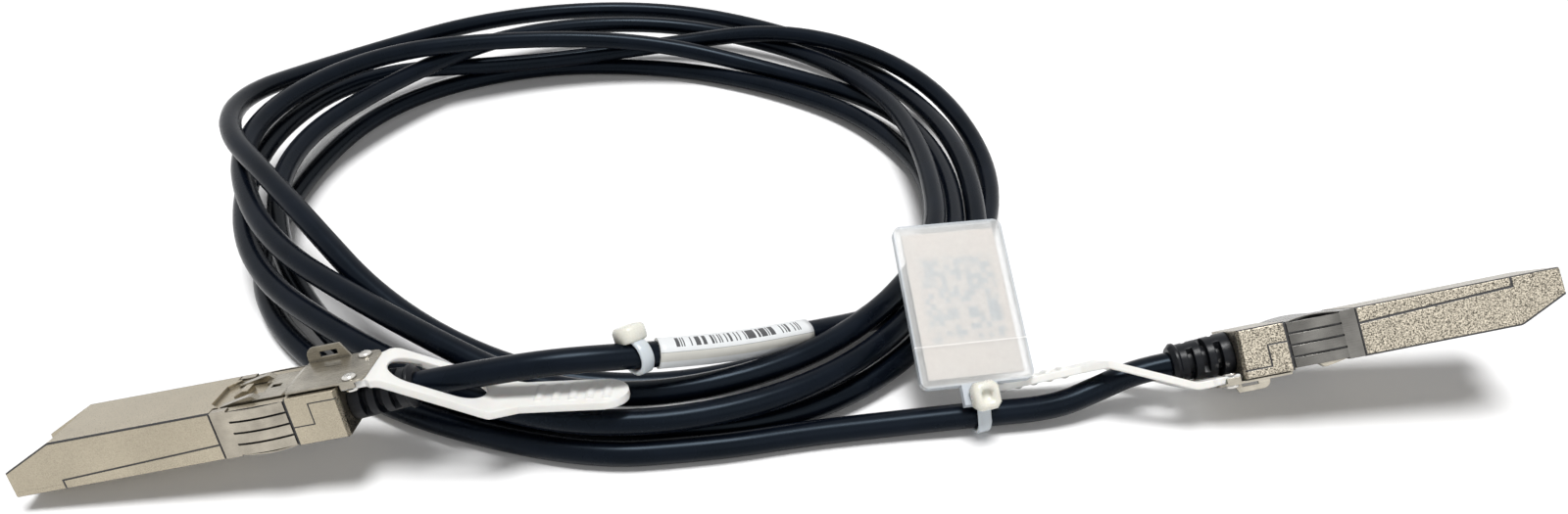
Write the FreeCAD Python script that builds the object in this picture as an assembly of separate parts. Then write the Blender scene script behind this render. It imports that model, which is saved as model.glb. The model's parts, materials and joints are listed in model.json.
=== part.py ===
import FreeCAD, Part
import math
import os

from FreeCAD import Placement, Rotation, Vector

# Direct attach copper cable: two small form-factor plugs joined by a coiled twinax cable.
# Millimetres. Table top is z = 0. Origin: centre of the foot print of the two plugs.
# Plug frame: x from the nose to the cable, y across, z = 0 cover side, +z latch side.

# ---- plug shell ----
PLUG_WIDTH = 13.5
PLUG_HEIGHT = 8.5
SHELL_LENGTH = 54.9
NOSE_HEIGHT = 4.7
NOSE_CHAMFER = 8.2
SIDE_WALL = 1.0
TOP_WALL = 1.4
COVER_THICKNESS = 1.0
EDGE_ROUND = 0.4
COVER_STRIP_FRONT = 1.7
COVER_STRIP_REAR = 2.8
COVER_STRIP_WALL = 0.6
FIT_GAP = 0.05
CUT_REACH = 30

# ---- rear block of the shell ----
REAR_BLOCK_LENGTH = 8.3
SEAM_STEP_LENGTH = 3.6
SEAM_LOW_Z = 3.4
SEAM_HIGH_Z = 7.1
REAR_WALL = 1.2
BAY_END_WALL = 0.6
REAR_BEVEL = 0.8
CABLE_AXIS_Z = 3.9

# ---- paddle card ----
CARD_FRONT = 2.6
CARD_LENGTH = 33.9
CARD_WIDTH = 9.2
CARD_THICKNESS = 1.0
CARD_BOTTOM_Z = 2.25
CARD_NOTCH = 0.8
RIB_LENGTH = 2.0
RIB_SPACING = 16.0
RIB_REACH = 1.6
PAD_COUNT = 10
PAD_PITCH = 0.8
PAD_WIDTH = 0.55
PAD_LENGTH = 2.6
PAD_THICKNESS = 0.05
CHIP_SIZE = 3.0
CHIP_HEIGHT = 0.8
CHIP_X = 22.0

# ---- EMI collar ----
COLLAR_LENGTH = 12.1
COLLAR_BAND = 2.7
COLLAR_SHEET = 0.22
COLLAR_RECESS = 0.35
COLLAR_TAB = 1.3
FINGER_BOW = 0.45
FINGER_END_GAP = 0.3
FINGER_SLOT = 0.35
SIDE_FINGERS = 4
COVER_FINGERS = 6

# ---- latch face and release slide ----
CHANNEL_DEPTH = 0.6
CHANNEL_WIDTH = 9.8
CHANNEL_CHAMFER = 1.8
BOSS_FROM_SHOULDER = 9.0
BOSS_SIZE = 2.5
BOSS_RISE = 0.45
SLIDE_SHEET = 0.4
SLIDE_GAP = 0.1
SLIDE_WIDTH = 8.8
SLIDE_FRONT_REACH = 5.9
SLIDE_STEP_REACH = 1.2
SLIDE_STEP_RUN = 1.4
SLIDE_OVERHANG = 4.5
SLIDE_TAIL_WIDTH = 11.4
SLIDE_LIFT = 0.25
SLIDE_TRAVEL = 2.5
TINE_LENGTH = 5.4
TINE_WIDTH = 1.2
TINE_INSET = 0.1
TINE_RISE = 0.7
SLIDE_HOLE = 1.6
EAR_LENGTH = 7.4
EAR_HEIGHT = 3.0
EAR_WINDOW_LENGTH = 3.0
EAR_WINDOW_HEIGHT = 1.0
HOOK_LENGTH = 2.4
HOOK_DROP = 0.9

# ---- return spring, in a pocket of the rear block ----
SPRING_FROM_SIDE = 2.15
SPRING_DIAMETER = 1.4
SPRING_WIRE = 0.24
SPRING_TURNS = 6
SPRING_CLOSED_LENGTH = 3.1
POCKET_CLEARANCE = 0.2
POCKET_DEPTH = 2.0
POCKET_FRONT_WALL = 0.8
TONGUE_SHEET = 0.4
TONGUE_WIDTH = 1.3
TONGUE_DROP = 1.5

# ---- pull tab ----
TAB_THICKNESS = 1.3
TAB_GAP = 0.4
NECK_WIDTH = 10.2
SADDLE_GAP = 0.15
TAB_BEND_RADIUS = 3.0
FORK_WIDTH = 12.0
FORK_TAPER = 4.5
SLOT_WIDTH = 7.8
SLOT_LENGTH = 14.2
GRIP_WIDTH = 8.6
GRIP_RIBS = 5
GRIP_RIB_PITCH = 2.8
GRIP_RIB_RISE = 0.35
GRIP_RIB_SPAN = 5.4
GRIP_RIB_FROM_END = 3.6
RIVET_Y = 4.2
RIVET_OVERHANG = 1.9
RIVET_SHANK = 1.2
RIVET_HEAD = 2.3
RIVET_HEAD_HEIGHT = 0.55
RIVET_FOOT_HEIGHT = 0.35

# ---- strain relief, ferrule and cores ----
CABLE_DIAMETER = 4.5
RELIEF_LENGTH = 10.5
RELIEF_FRONT_DIAMETER = 7.7
RELIEF_REAR_DIAMETER = 6.6
RELIEF_STEM_DIAMETER = 5.5
RELIEF_STEM_LENGTH = 2.2
RELIEF_NECK_DIAMETER = 4.4
RELIEF_LIP_LENGTH = 1.5
RELIEF_LIP_RISE = 0.35
RELIEF_GROOVES = 3
RELIEF_GROOVE_WIDTH = 1.1
RELIEF_GROOVE_PITCH = 2.4
RELIEF_GROOVE_FIRST = 1.9
RELIEF_GROOVE_DEPTH = 1.0
RELIEF_SPINE = 2.0
FERRULE_DIAMETER = 5.2
FERRULE_BORE = 4.2
FERRULE_LENGTH = 3.9
FERRULE_RIM = 0.5
CORE_DIAMETER = 1.2
CORE_STACK = 0.7
CORE_WIRE = 0.5
WIRE_LAP = 2.4

# ---- cable route ----
COIL_PLACE = (-40.1, 78.3, 0)
TUBE_BEND_SHARE = 0.45
# the cable leaves each plug straight, for this far
EXIT_LEAD_A = 10.8
EXIT_LEAD_B = 6.0
# route from there to the coil's inner front
TAIL_A_POINTS = [(-41.1, -4.3, 19.3), (-27.1, -0.7, 17.6), (-13.1, 5.3, 14.2),
                 (0.9, 14.3, 10.2), (12.9, 23.3, 6.0)]
# route from the coil's outer front to plug b's lead
TAIL_B_POINTS = [(-16.1, -7.3, 2.4), (-0.1, -3.7, 2.3), (14.9, -1.5, 2.5),
                 (29.9, -0.1, 3.4), (43.9, 1.6, 3.5), (52.2, 4.5, 5.5)]
# envelope of the loose coil: bearing, inner radius, outer radius, height
COIL_SECTIONS = [(0, 67.5, 90, 12), (30, 65.5, 86, 15), (60, 62, 87, 16.5), (90, 63, 91, 14),
                 (120, 66.5, 93, 16.5), (150, 72, 93.5, 20.5), (180, 75, 96, 25),
                 (210, 70, 88, 21), (235, 69.5, 85, 12), (255, 71, 87, 9), (278, 72, 90, 8),
                 (300, 70.5, 89.5, 6.6), (325, 69.5, 88, 11), (345, 68, 89.5, 12)]
COIL_SIDE_SHARE = 0.55

# ---- ties, wrap label and tag ----
TIE_WIDTH = 2.5
TIE_THICKNESS = 0.8
TIE_SLACK = 0.1
TIE_HEAD_LENGTH = 4.8
TIE_HEAD_WIDTH = 4.4
TIE_HEAD_HEIGHT = 3.2
TIE_TAIL = 2.0
LABEL_TIE_LEAN = 20
LABEL_SHEET = 0.25
LABEL_SLACK = 0.1
LABEL_START_SHARE = 0.65
LABEL_END_SHARE = 0.55
TAG_WIDTH = 20.4
TAG_HEIGHT = 30.8
TAG_THICKNESS = 1.6
TAG_CORNER = 1.5
TAG_INSERT_MARGIN = 1.6
TAG_INSERT_THICKNESS = 0.5
TAG_EYE_WIDTH = 6.4
TAG_EYE_LENGTH = 3.6
TAG_EYE_HOLE = 3.2
TAG_EYE_BAR = 1.3
TAG_ACROSS = Vector(19.0, 3.0, 0.0)
TAG_UP = Vector(-1.5, 24.5, 15.5)
TAG_TIE_REACH = 4.4
TAG_TIE_TOP_DIAMETER = 2.6
TAG_TIE_LEAN = 15
TAG_TIE_HEAD_RISE = 0.4

# ---- where the plugs lie ----
PLUG_A_NOSE = (-128.06, -12.98, 1.6)
PLUG_A_TURN = (5.45, -9.05, -14.62)
PLUG_B_NOSE = (127.87, 14.42, 24.4)
PLUG_B_TURN = (184.38, 11.22, 220.69)
# side view of each pull tab: length behind the shell and z of its bends and its end
TAB_A_BENDS = [(6.6, 10.0), (22.1, -1.2), (44.1, -4.6)]
TAB_B_BENDS = [(8.1, 10.0), (22.1, 1.4), (44.1, 1.9)]

# ---- sizes that follow ----
PLUG_A = Placement(Vector(*PLUG_A_NOSE), Rotation(*PLUG_A_TURN))
PLUG_B = Placement(Vector(*PLUG_B_NOSE), Rotation(*PLUG_B_TURN))
COIL_CENTRE = Vector(*COIL_PLACE)
HALF = PLUG_WIDTH / 2
INNER = HALF - SIDE_WALL
LATCH_FLOOR = PLUG_HEIGHT - CHANNEL_DEPTH
CAVITY_TOP = PLUG_HEIGHT - TOP_WALL
SHOULDER_X = SHELL_LENGTH - REAR_BLOCK_LENGTH
SEAM_STEP_X = SHOULDER_X + SEAM_STEP_LENGTH
COLLAR_X = SHOULDER_X - COLLAR_LENGTH
BOSS_X = SHOULDER_X - BOSS_FROM_SHOULDER
SLIDE_FRONT = SHOULDER_X - SLIDE_FRONT_REACH
SLIDE_STEP_X = SHOULDER_X - SLIDE_STEP_REACH
SLIDE_REAR = SHELL_LENGTH + SLIDE_OVERHANG
SPRING_Y = HALF - SPRING_FROM_SIDE
TAB_START = SHELL_LENGTH + TAB_GAP
RIVET_X = SHELL_LENGTH + RIVET_OVERHANG
SLIDE_LOW_Z = LATCH_FLOOR + SLIDE_GAP
SLIDE_HIGH_Z = PLUG_HEIGHT + SLIDE_LIFT
TAB_NECK_Z = SLIDE_HIGH_Z - TAB_THICKNESS / 2
SADDLE_DIAMETER = RELIEF_FRONT_DIAMETER + 2 * (RELIEF_LIP_RISE + SADDLE_GAP)
POCKET_X = SHOULDER_X + POCKET_FRONT_WALL
TONGUE_X = POCKET_X + POCKET_CLEARANCE
POCKET_LENGTH = POCKET_CLEARANCE + TONGUE_SHEET + SLIDE_TRAVEL + SPRING_CLOSED_LENGTH
EXIT_X = SHELL_LENGTH + RELIEF_LENGTH
CARD_REAR = CARD_FRONT + CARD_LENGTH
CARD_TOP_Z = CARD_BOTTOM_Z + CARD_THICKNESS
BORE_DIAMETER = RELIEF_STEM_DIAMETER + 4 * FIT_GAP
STEM_START = SHELL_LENGTH - REAR_WALL - RELIEF_STEM_LENGTH


# ---------------------------------------------------------------- helpers
def box(x0, x1, y0, y1, z0, z1):
    """Box between two corners."""
    return Part.makeBox(x1 - x0, y1 - y0, z1 - z0, Vector(x0, y0, z0))


def slab(x0, x1, width, z0, z1):
    """Box centred across the plug."""
    return box(x0, x1, -width / 2, width / 2, z0, z1)


def rod(x0, x1, diameter, y=0.0, z=CABLE_AXIS_Z):
    """Cylinder along the plug, by default on the cable's axis."""
    return Part.makeCylinder(diameter / 2, x1 - x0, Vector(x0, y, z), Vector(1, 0, 0))


def prism(points, direction):
    """Closed polygon of points, extruded."""
    wire = Part.makePolygon([Vector(*p) for p in points + points[:1]])
    return Part.Face(wire).extrude(direction)


def fuse_all(shapes):
    """One solid of several that touch or overlap."""
    return shapes[0].multiFuse(shapes[1:]).removeSplitter()


def mirrored(shape):
    """The shape's twin on the other side of the plug."""
    return shape.mirror(Vector(0, 0, 0), Vector(0, 1, 0))


def bent_path(points, radius=None):
    """Straight runs joined by tangent arcs; returns the wire and the arcs' radii."""
    edges = []
    radii = []
    start = points[0]
    for before, corner, after in zip(points, points[1:], points[2:]):
        back = (before - corner).normalize()
        ahead = (after - corner).normalize()
        half_turn = (math.pi - back.getAngle(ahead)) / 2
        reach = TUBE_BEND_SHARE * min((before - corner).Length, (after - corner).Length)
        if radius is not None:
            reach = min(reach, radius * math.tan(half_turn))
        arc_radius = reach / math.tan(half_turn)
        first = corner + back * reach
        last = corner + ahead * reach
        middle_way = (back + ahead).normalize()
        middle = corner + middle_way * (arc_radius / math.cos(half_turn) - arc_radius)
        edges.append(Part.LineSegment(start, first).toShape())
        edges.append(Part.Arc(first, middle, last).toShape())
        radii.append(arc_radius)
        start = last
    edges.append(Part.LineSegment(start, points[-1]).toShape())
    return edges, radii


def swept_disc(edges, diameter):
    """Round section swept along joined edges."""
    start = edges[0].valueAt(edges[0].FirstParameter)
    way = edges[0].tangentAt(edges[0].FirstParameter)
    section = Part.Wire(Part.makeCircle(diameter / 2, start, way))
    return Part.Wire(edges).makePipeShell([section], True, False)


def cable_tube(name, points):
    """Tube of one cable tail, with its radii and volume printed."""
    edges, radii = bent_path(points)
    tube = swept_disc(edges, CABLE_DIAMETER)
    length = sum(edge.Length for edge in edges)
    expected = math.pi * CABLE_DIAMETER ** 2 / 4 * length
    print(name, "length", round(length, 1), "radii", [round(r, 1) for r in radii],
          "volume share", round(tube.Volume / expected, 4), tube.isValid())
    return tube, edges


# ---------------------------------------------------------------- shell
def shell_profile():
    """Outer body of the plug, with its chamfered nose and bevelled rear edge."""
    side = [(0, 0, 0), (0, 0, NOSE_HEIGHT), (NOSE_CHAMFER, 0, PLUG_HEIGHT),
            (SHELL_LENGTH, 0, PLUG_HEIGHT), (SHELL_LENGTH, 0, 0)]
    body = prism([(x, -HALF, z) for x, _, z in side], Vector(0, PLUG_WIDTH, 0))
    long_edges = [e for e in body.Edges if abs(e.tangentAt(e.FirstParameter).x) > 0.99
                  and e.Length > SHELL_LENGTH / 2]
    body = body.makeFillet(EDGE_ROUND, long_edges)
    rear_cut = prism([(SHELL_LENGTH - REAR_BEVEL / 2, -HALF, -1),
                      (SHELL_LENGTH + 1, -HALF, -1),
                      (SHELL_LENGTH + 1, -HALF + REAR_BEVEL * 2, -1),
                      (SHELL_LENGTH, -HALF + REAR_BEVEL, -1)], Vector(0, 0, PLUG_HEIGHT + 2))
    return body.cut([rear_cut, mirrored(rear_cut)])


def collar_recess():
    """Step round the shell in which the collar sits, open at the latch channel."""
    inner = PLUG_WIDTH - 2 * COLLAR_RECESS
    ring = slab(COLLAR_X, SHOULDER_X, PLUG_WIDTH + 2, -1, PLUG_HEIGHT + 1)
    core = slab(COLLAR_X, SHOULDER_X, inner, COLLAR_RECESS, PLUG_HEIGHT - COLLAR_RECESS)
    return ring.cut(core).cut(slab(COLLAR_X, SHOULDER_X, CHANNEL_WIDTH, PLUG_HEIGHT / 2,
                                   PLUG_HEIGHT + 1))


def latch_channel():
    """Sunken channel of the release slide, with chamfered front corners."""
    half = CHANNEL_WIDTH / 2
    front = COLLAR_X - 1.0
    outline = [(front, -half + CHANNEL_CHAMFER, LATCH_FLOOR),
               (front + CHANNEL_CHAMFER, -half, LATCH_FLOOR),
               (SHELL_LENGTH + 1, -half, LATCH_FLOOR), (SHELL_LENGTH + 1, half, LATCH_FLOOR),
               (front + CHANNEL_CHAMFER, half, LATCH_FLOOR),
               (front, half - CHANNEL_CHAMFER, LATCH_FLOOR)]
    return prism(outline, Vector(0, 0, CHANNEL_DEPTH + 1))


def spring_pocket():
    """Blind slot of the return spring and the slide's tongue."""
    half = SPRING_DIAMETER / 2 + POCKET_CLEARANCE
    return box(POCKET_X, POCKET_X + POCKET_LENGTH, SPRING_Y - half, SPRING_Y + half,
               LATCH_FLOOR - POCKET_DEPTH, PLUG_HEIGHT)


def shell_hollow():
    """Room inside: nose mouth, card bay, ferrule chamber and rear wall hole."""
    bay = slab(-1, SHOULDER_X - BAY_END_WALL, 2 * INNER, COVER_THICKNESS, CAVITY_TOP)
    mouth = slab(-1, NOSE_CHAMFER, 2 * INNER, COVER_THICKNESS, PLUG_HEIGHT + 1)
    chamber = rod(SHOULDER_X - 1, SHELL_LENGTH - REAR_WALL, BORE_DIAMETER)
    wall_hole = rod(SHELL_LENGTH - 2 * REAR_WALL, SHELL_LENGTH + 1,
                    RELIEF_NECK_DIAMETER + 2 * FIT_GAP)
    return [bay, mouth, chamber, wall_hole]


def cover_region():
    """Where the shell's material belongs to the cover: floor, strips and rear side walls."""
    floor = slab(-1, SHELL_LENGTH + 1, PLUG_WIDTH + 2, -1, COVER_THICKNESS)
    inner = HALF - COVER_STRIP_WALL
    strip = prism([(NOSE_CHAMFER, inner, 0), (NOSE_CHAMFER, inner, COVER_STRIP_FRONT),
                   (COLLAR_X, inner, COVER_STRIP_REAR), (COLLAR_X, inner, 0)],
                  Vector(0, COVER_STRIP_WALL + 1, 0))
    low_step = box(SHOULDER_X, SEAM_STEP_X, INNER, HALF + 1, 0, SEAM_LOW_Z)
    high_step = box(SEAM_STEP_X, SHELL_LENGTH + 1, INNER, HALF + 1, 0, SEAM_HIGH_Z)
    rear_half = slab(SHELL_LENGTH - REAR_WALL, SHELL_LENGTH + 1, 2 * INNER, 0, CABLE_AXIS_Z)
    sides = [strip, low_step, high_step]
    return fuse_all([floor, rear_half] + sides + [mirrored(s) for s in sides])


def card_ribs(z0, z1):
    """Pairs of ribs along both walls that clamp the card."""
    ribs = []
    for x in (NOSE_CHAMFER + RIB_LENGTH * 2, NOSE_CHAMFER + RIB_LENGTH * 2 + RIB_SPACING):
        rib = box(x, x + RIB_LENGTH, INNER - RIB_REACH, INNER, z0, z1)
        ribs += [rib, mirrored(rib)]
    return ribs


def latch_boss():
    """Locking post of the latch face, sloped towards the nose."""
    half = BOSS_SIZE / 2
    top = PLUG_HEIGHT + BOSS_RISE
    side = [(BOSS_X - half, -half, LATCH_FLOOR), (BOSS_X - half, -half, PLUG_HEIGHT - 0.2),
            (BOSS_X + half * 0.2, -half, top), (BOSS_X + half, -half, top),
            (BOSS_X + half, -half, LATCH_FLOOR)]
    return prism(side, Vector(0, BOSS_SIZE, 0))


def shell_pieces():
    """The two shells: base with the latch face, and cover."""
    body = shell_profile().cut([collar_recess()] + shell_hollow())
    region = cover_region()
    cover = body.common(region)
    base = body.cut([region, latch_channel(), spring_pocket()])
    base = fuse_all([base, latch_boss()] + card_ribs(CARD_TOP_Z, CAVITY_TOP))
    cover = fuse_all([cover] + card_ribs(COVER_THICKNESS, CARD_BOTTOM_Z))
    return base, cover


# ---------------------------------------------------------------- card
def paddle_card():
    """Edge card with chamfered front corners."""
    half = CARD_WIDTH / 2
    outline = [(CARD_FRONT, -half + CARD_NOTCH, CARD_BOTTOM_Z),
               (CARD_FRONT + CARD_NOTCH, -half, CARD_BOTTOM_Z),
               (CARD_REAR, -half, CARD_BOTTOM_Z), (CARD_REAR, half, CARD_BOTTOM_Z),
               (CARD_FRONT + CARD_NOTCH, half, CARD_BOTTOM_Z),
               (CARD_FRONT, half - CARD_NOTCH, CARD_BOTTOM_Z)]
    return prism(outline, Vector(0, 0, CARD_THICKNESS))


def card_contacts():
    """Two rows of contact pads, on both faces of the card."""
    pads = []
    for index in range(PAD_COUNT):
        y = (index - (PAD_COUNT - 1) / 2) * PAD_PITCH
        for z in (CARD_TOP_Z, CARD_BOTTOM_Z - PAD_THICKNESS):
            pads.append(box(CARD_FRONT + 0.4, CARD_FRONT + 0.4 + PAD_LENGTH,
                            y - PAD_WIDTH / 2, y + PAD_WIDTH / 2, z, z + PAD_THICKNESS))
    return Part.makeCompound(pads)


def memory_chip():
    """Small identification chip on the card."""
    chip = slab(CHIP_X, CHIP_X + CHIP_SIZE, CHIP_SIZE, CARD_TOP_Z, CARD_TOP_Z + CHIP_HEIGHT)
    top = [e for e in chip.Edges if e.CenterOfMass.z > CARD_TOP_Z + CHIP_HEIGHT - 0.01]
    return chip.makeChamfer(CHIP_HEIGHT / 5, top)


# ---------------------------------------------------------------- collar
def spring_finger(width):
    """One bowed finger, lying along x from the band to the shoulder, bowing to +z."""
    length = SHOULDER_X - FINGER_END_GAP - COLLAR_X - COLLAR_BAND
    start = Vector(0, 0, 0)
    crest = Vector(length * 0.5, 0, FINGER_BOW)
    end = Vector(length, 0, -FIT_GAP)
    up = Vector(0, 0, COLLAR_SHEET)
    under = Part.Arc(start, crest, end).toShape()
    over = Part.Arc(start + up, crest + up, end + up).toShape()
    ends = [Part.LineSegment(start, start + up).toShape(),
            Part.LineSegment(end, end + up).toShape()]
    face = Part.Face(Part.Wire(Part.__sortEdges__([under, over] + ends)))
    return face.extrude(Vector(0, width, 0))


def finger_row(count, span):
    """Equal fingers side by side over a span that is centred on y = 0."""
    pitch = (span + FINGER_SLOT) / count
    row = []
    for index in range(count):
        finger = spring_finger(pitch - FINGER_SLOT)
        finger.translate(Vector(COLLAR_X + COLLAR_BAND, index * pitch - span / 2, 0))
        row.append(finger)
    return row


def emi_collar():
    """Sheet band round three sides with tabs on the latch face, and its spring fingers."""
    seat = COLLAR_RECESS - COLLAR_SHEET - FIT_GAP
    wide = PLUG_WIDTH - 2 * seat
    band = slab(COLLAR_X + FIT_GAP, COLLAR_X + COLLAR_BAND, wide, seat, PLUG_HEIGHT - seat)
    inside = slab(COLLAR_X - 1, SHOULDER_X, wide - 2 * COLLAR_SHEET, seat + COLLAR_SHEET,
                  PLUG_HEIGHT - seat - COLLAR_SHEET)
    window = slab(COLLAR_X - 1, SHOULDER_X, wide - 2 * COLLAR_TAB, PLUG_HEIGHT / 2,
                  PLUG_HEIGHT + 1)
    pieces = [band.cut([inside, window])]
    side_row = finger_row(SIDE_FINGERS, PLUG_HEIGHT - 2 * COLLAR_RECESS)
    cover_row = finger_row(COVER_FINGERS, PLUG_WIDTH - 2 * COLLAR_RECESS)
    for finger in side_row:
        finger.rotate(Vector(0, 0, 0), Vector(1, 0, 0), -90)
        finger.translate(Vector(0, wide / 2 - COLLAR_SHEET, PLUG_HEIGHT / 2))
        pieces += [finger, mirrored(finger)]
    for finger in cover_row:
        finger.rotate(Vector(0, 0, 0), Vector(1, 0, 0), 180)
        finger.translate(Vector(0, 0, seat + COLLAR_SHEET))
        pieces.append(finger)
    return fuse_all(pieces)


# ---------------------------------------------------------------- slide
def slide_sheet():
    """Side profile of the slide: low plate, step up, high tail plate."""
    step_end = SLIDE_STEP_X + SLIDE_STEP_RUN
    side = [(SLIDE_FRONT, 0, SLIDE_LOW_Z), (SLIDE_STEP_X, 0, SLIDE_LOW_Z),
            (step_end, 0, SLIDE_HIGH_Z), (SLIDE_REAR, 0, SLIDE_HIGH_Z),
            (SLIDE_REAR, 0, SLIDE_HIGH_Z + SLIDE_SHEET),
            (step_end, 0, SLIDE_HIGH_Z + SLIDE_SHEET),
            (SLIDE_STEP_X, 0, SLIDE_LOW_Z + SLIDE_SHEET),
            (SLIDE_FRONT, 0, SLIDE_LOW_Z + SLIDE_SHEET)]
    low = prism([(x, -SLIDE_WIDTH / 2, z) for x, _, z in side], Vector(0, SLIDE_WIDTH, 0))
    tail = slab(step_end, SLIDE_REAR, SLIDE_TAIL_WIDTH, SLIDE_HIGH_Z,
                SLIDE_HIGH_Z + SLIDE_SHEET)
    corners = [e for e in tail.Edges if abs(e.tangentAt(e.FirstParameter).z) > 0.99
               and e.CenterOfMass.x > SLIDE_REAR - 0.1]
    return [low, tail.makeFillet(1.5, corners)]


def slide_tine():
    """Wedge finger that lifts the cage's latch off the boss."""
    outer = SLIDE_WIDTH / 2 - TINE_INSET
    tip = SLIDE_FRONT - TINE_LENGTH
    side = [(tip, 0, SLIDE_LOW_Z), (SLIDE_FRONT, 0, SLIDE_LOW_Z),
            (SLIDE_FRONT + 0.8, 0, SLIDE_LOW_Z), (SLIDE_FRONT + 0.8, 0, SLIDE_LOW_Z + SLIDE_SHEET),
            (SLIDE_FRONT, 0, SLIDE_LOW_Z + SLIDE_SHEET + TINE_RISE),
            (SLIDE_FRONT - 0.6, 0, SLIDE_LOW_Z + SLIDE_SHEET + TINE_RISE),
            (tip, 0, SLIDE_LOW_Z + 0.15)]
    return prism([(x, outer - TINE_WIDTH, z) for x, _, z in side], Vector(0, TINE_WIDTH, 0))


def slide_ear():
    """Raised far-side ear with its rounded top and window."""
    y = SLIDE_TAIL_WIDTH / 2
    x0 = SLIDE_STEP_X + SLIDE_STEP_RUN
    z0 = SLIDE_HIGH_Z
    corner = EAR_HEIGHT * 0.5
    top = z0 + EAR_HEIGHT
    edges = [Part.LineSegment(Vector(x0, y, z0), Vector(x0, y, top - corner)).toShape(),
             Part.Arc(Vector(x0, y, top - corner),
                      Vector(x0 + corner * 0.3, y, top - corner * 0.3),
                      Vector(x0 + corner, y, top)).toShape(),
             Part.LineSegment(Vector(x0 + corner, y, top),
                              Vector(x0 + EAR_LENGTH - corner, y, top)).toShape(),
             Part.LineSegment(Vector(x0 + EAR_LENGTH - corner, y, top),
                              Vector(x0 + EAR_LENGTH, y, z0)).toShape(),
             Part.LineSegment(Vector(x0 + EAR_LENGTH, y, z0), Vector(x0, y, z0)).toShape()]
    ear = Part.Face(Part.Wire(edges)).extrude(Vector(0, -SLIDE_SHEET, 0))
    wx = x0 + EAR_LENGTH / 2
    wz = z0 + EAR_HEIGHT / 2
    window = box(wx - EAR_WINDOW_LENGTH / 2, wx + EAR_WINDOW_LENGTH / 2, y - 1, y + 1,
                 wz - EAR_WINDOW_HEIGHT / 2, wz + EAR_WINDOW_HEIGHT / 2)
    return ear.cut(window)


def slide_hook():
    """Low near-side flange, turned down over the shell's edge."""
    x0 = SHELL_LENGTH + 0.6
    y = -SLIDE_TAIL_WIDTH / 2
    return box(x0, x0 + HOOK_LENGTH, y, y + SLIDE_SHEET,
               SLIDE_HIGH_Z - HOOK_DROP, SLIDE_HIGH_Z + SLIDE_SHEET)


def slide_tongue():
    """Tongue bent down into the spring pocket."""
    return box(TONGUE_X, TONGUE_X + TONGUE_SHEET, SPRING_Y - TONGUE_WIDTH / 2,
               SPRING_Y + TONGUE_WIDTH / 2, LATCH_FLOOR - TONGUE_DROP,
               SLIDE_HIGH_Z + SLIDE_SHEET)


def rivet_holes(z0, z1):
    """Two holes for the rivets' shanks."""
    return [Part.makeCylinder(RIVET_SHANK / 2 + FIT_GAP, z1 - z0, Vector(RIVET_X, y, z0))
            for y in (-RIVET_Y, RIVET_Y)]


def release_slide():
    """Stamped release slide."""
    tine = slide_tine()
    body = fuse_all(slide_sheet() + [tine, mirrored(tine), slide_ear(), slide_hook(),
                                     slide_tongue()])
    hole_x = (SLIDE_FRONT + SLIDE_STEP_X) / 2
    hole = slab(hole_x - SLIDE_HOLE / 2, hole_x + SLIDE_HOLE / 2, SLIDE_HOLE * 0.7,
                SLIDE_LOW_Z - 1, SLIDE_HIGH_Z + 2)
    notch = slab(SLIDE_FRONT - 1, SLIDE_FRONT + 0.9, BOSS_SIZE + 1.0, SLIDE_LOW_Z - 1,
                 SLIDE_HIGH_Z)
    return body.cut([hole, notch] + rivet_holes(SLIDE_HIGH_Z - 1, SLIDE_HIGH_Z + 1))


def slide_spring():
    """Return spring between the slide's tongue and the pocket's rear wall."""
    x0 = TONGUE_X + TONGUE_SHEET + FIT_GAP
    x1 = POCKET_X + POCKET_LENGTH - FIT_GAP
    coil_radius = (SPRING_DIAMETER - SPRING_WIRE) / 2
    length = x1 - x0 - SPRING_WIRE
    helix = Part.makeHelix(length / SPRING_TURNS, length, coil_radius)
    start = Vector(coil_radius, 0, 0)
    section = Part.Wire(Part.makeCircle(SPRING_WIRE / 2, start, Vector(0, 1, 0)))
    coil = Part.Wire(helix).makePipeShell([section], True, True)
    coil.rotate(Vector(0, 0, 0), Vector(0, 1, 0), 90)
    coil.translate(Vector(x0 + SPRING_WIRE / 2, SPRING_Y, LATCH_FLOOR - POCKET_DEPTH / 2))
    return coil


def tab_rivets():
    """Two domed rivets that hold the pull tab under the slide's tail."""
    rivets = []
    low = SLIDE_HIGH_Z - TAB_THICKNESS
    high = SLIDE_HIGH_Z + SLIDE_SHEET
    for y in (-RIVET_Y, RIVET_Y):
        shank = Part.makeCylinder(RIVET_SHANK / 2, high - low, Vector(RIVET_X, y, low))
        foot = Part.makeCylinder(RIVET_HEAD / 2, RIVET_FOOT_HEIGHT,
                                 Vector(RIVET_X, y, low - RIVET_FOOT_HEIGHT))
        head = Part.makeCylinder(RIVET_HEAD / 2, RIVET_HEAD_HEIGHT, Vector(RIVET_X, y, high))
        crown = [e for e in head.Edges if e.CenterOfMass.z > high + RIVET_HEAD_HEIGHT * 0.9]
        rivets.append(fuse_all([foot, shank, head.makeFillet(RIVET_HEAD_HEIGHT * 0.8, crown)]))
    return Part.makeCompound(rivets)


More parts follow.
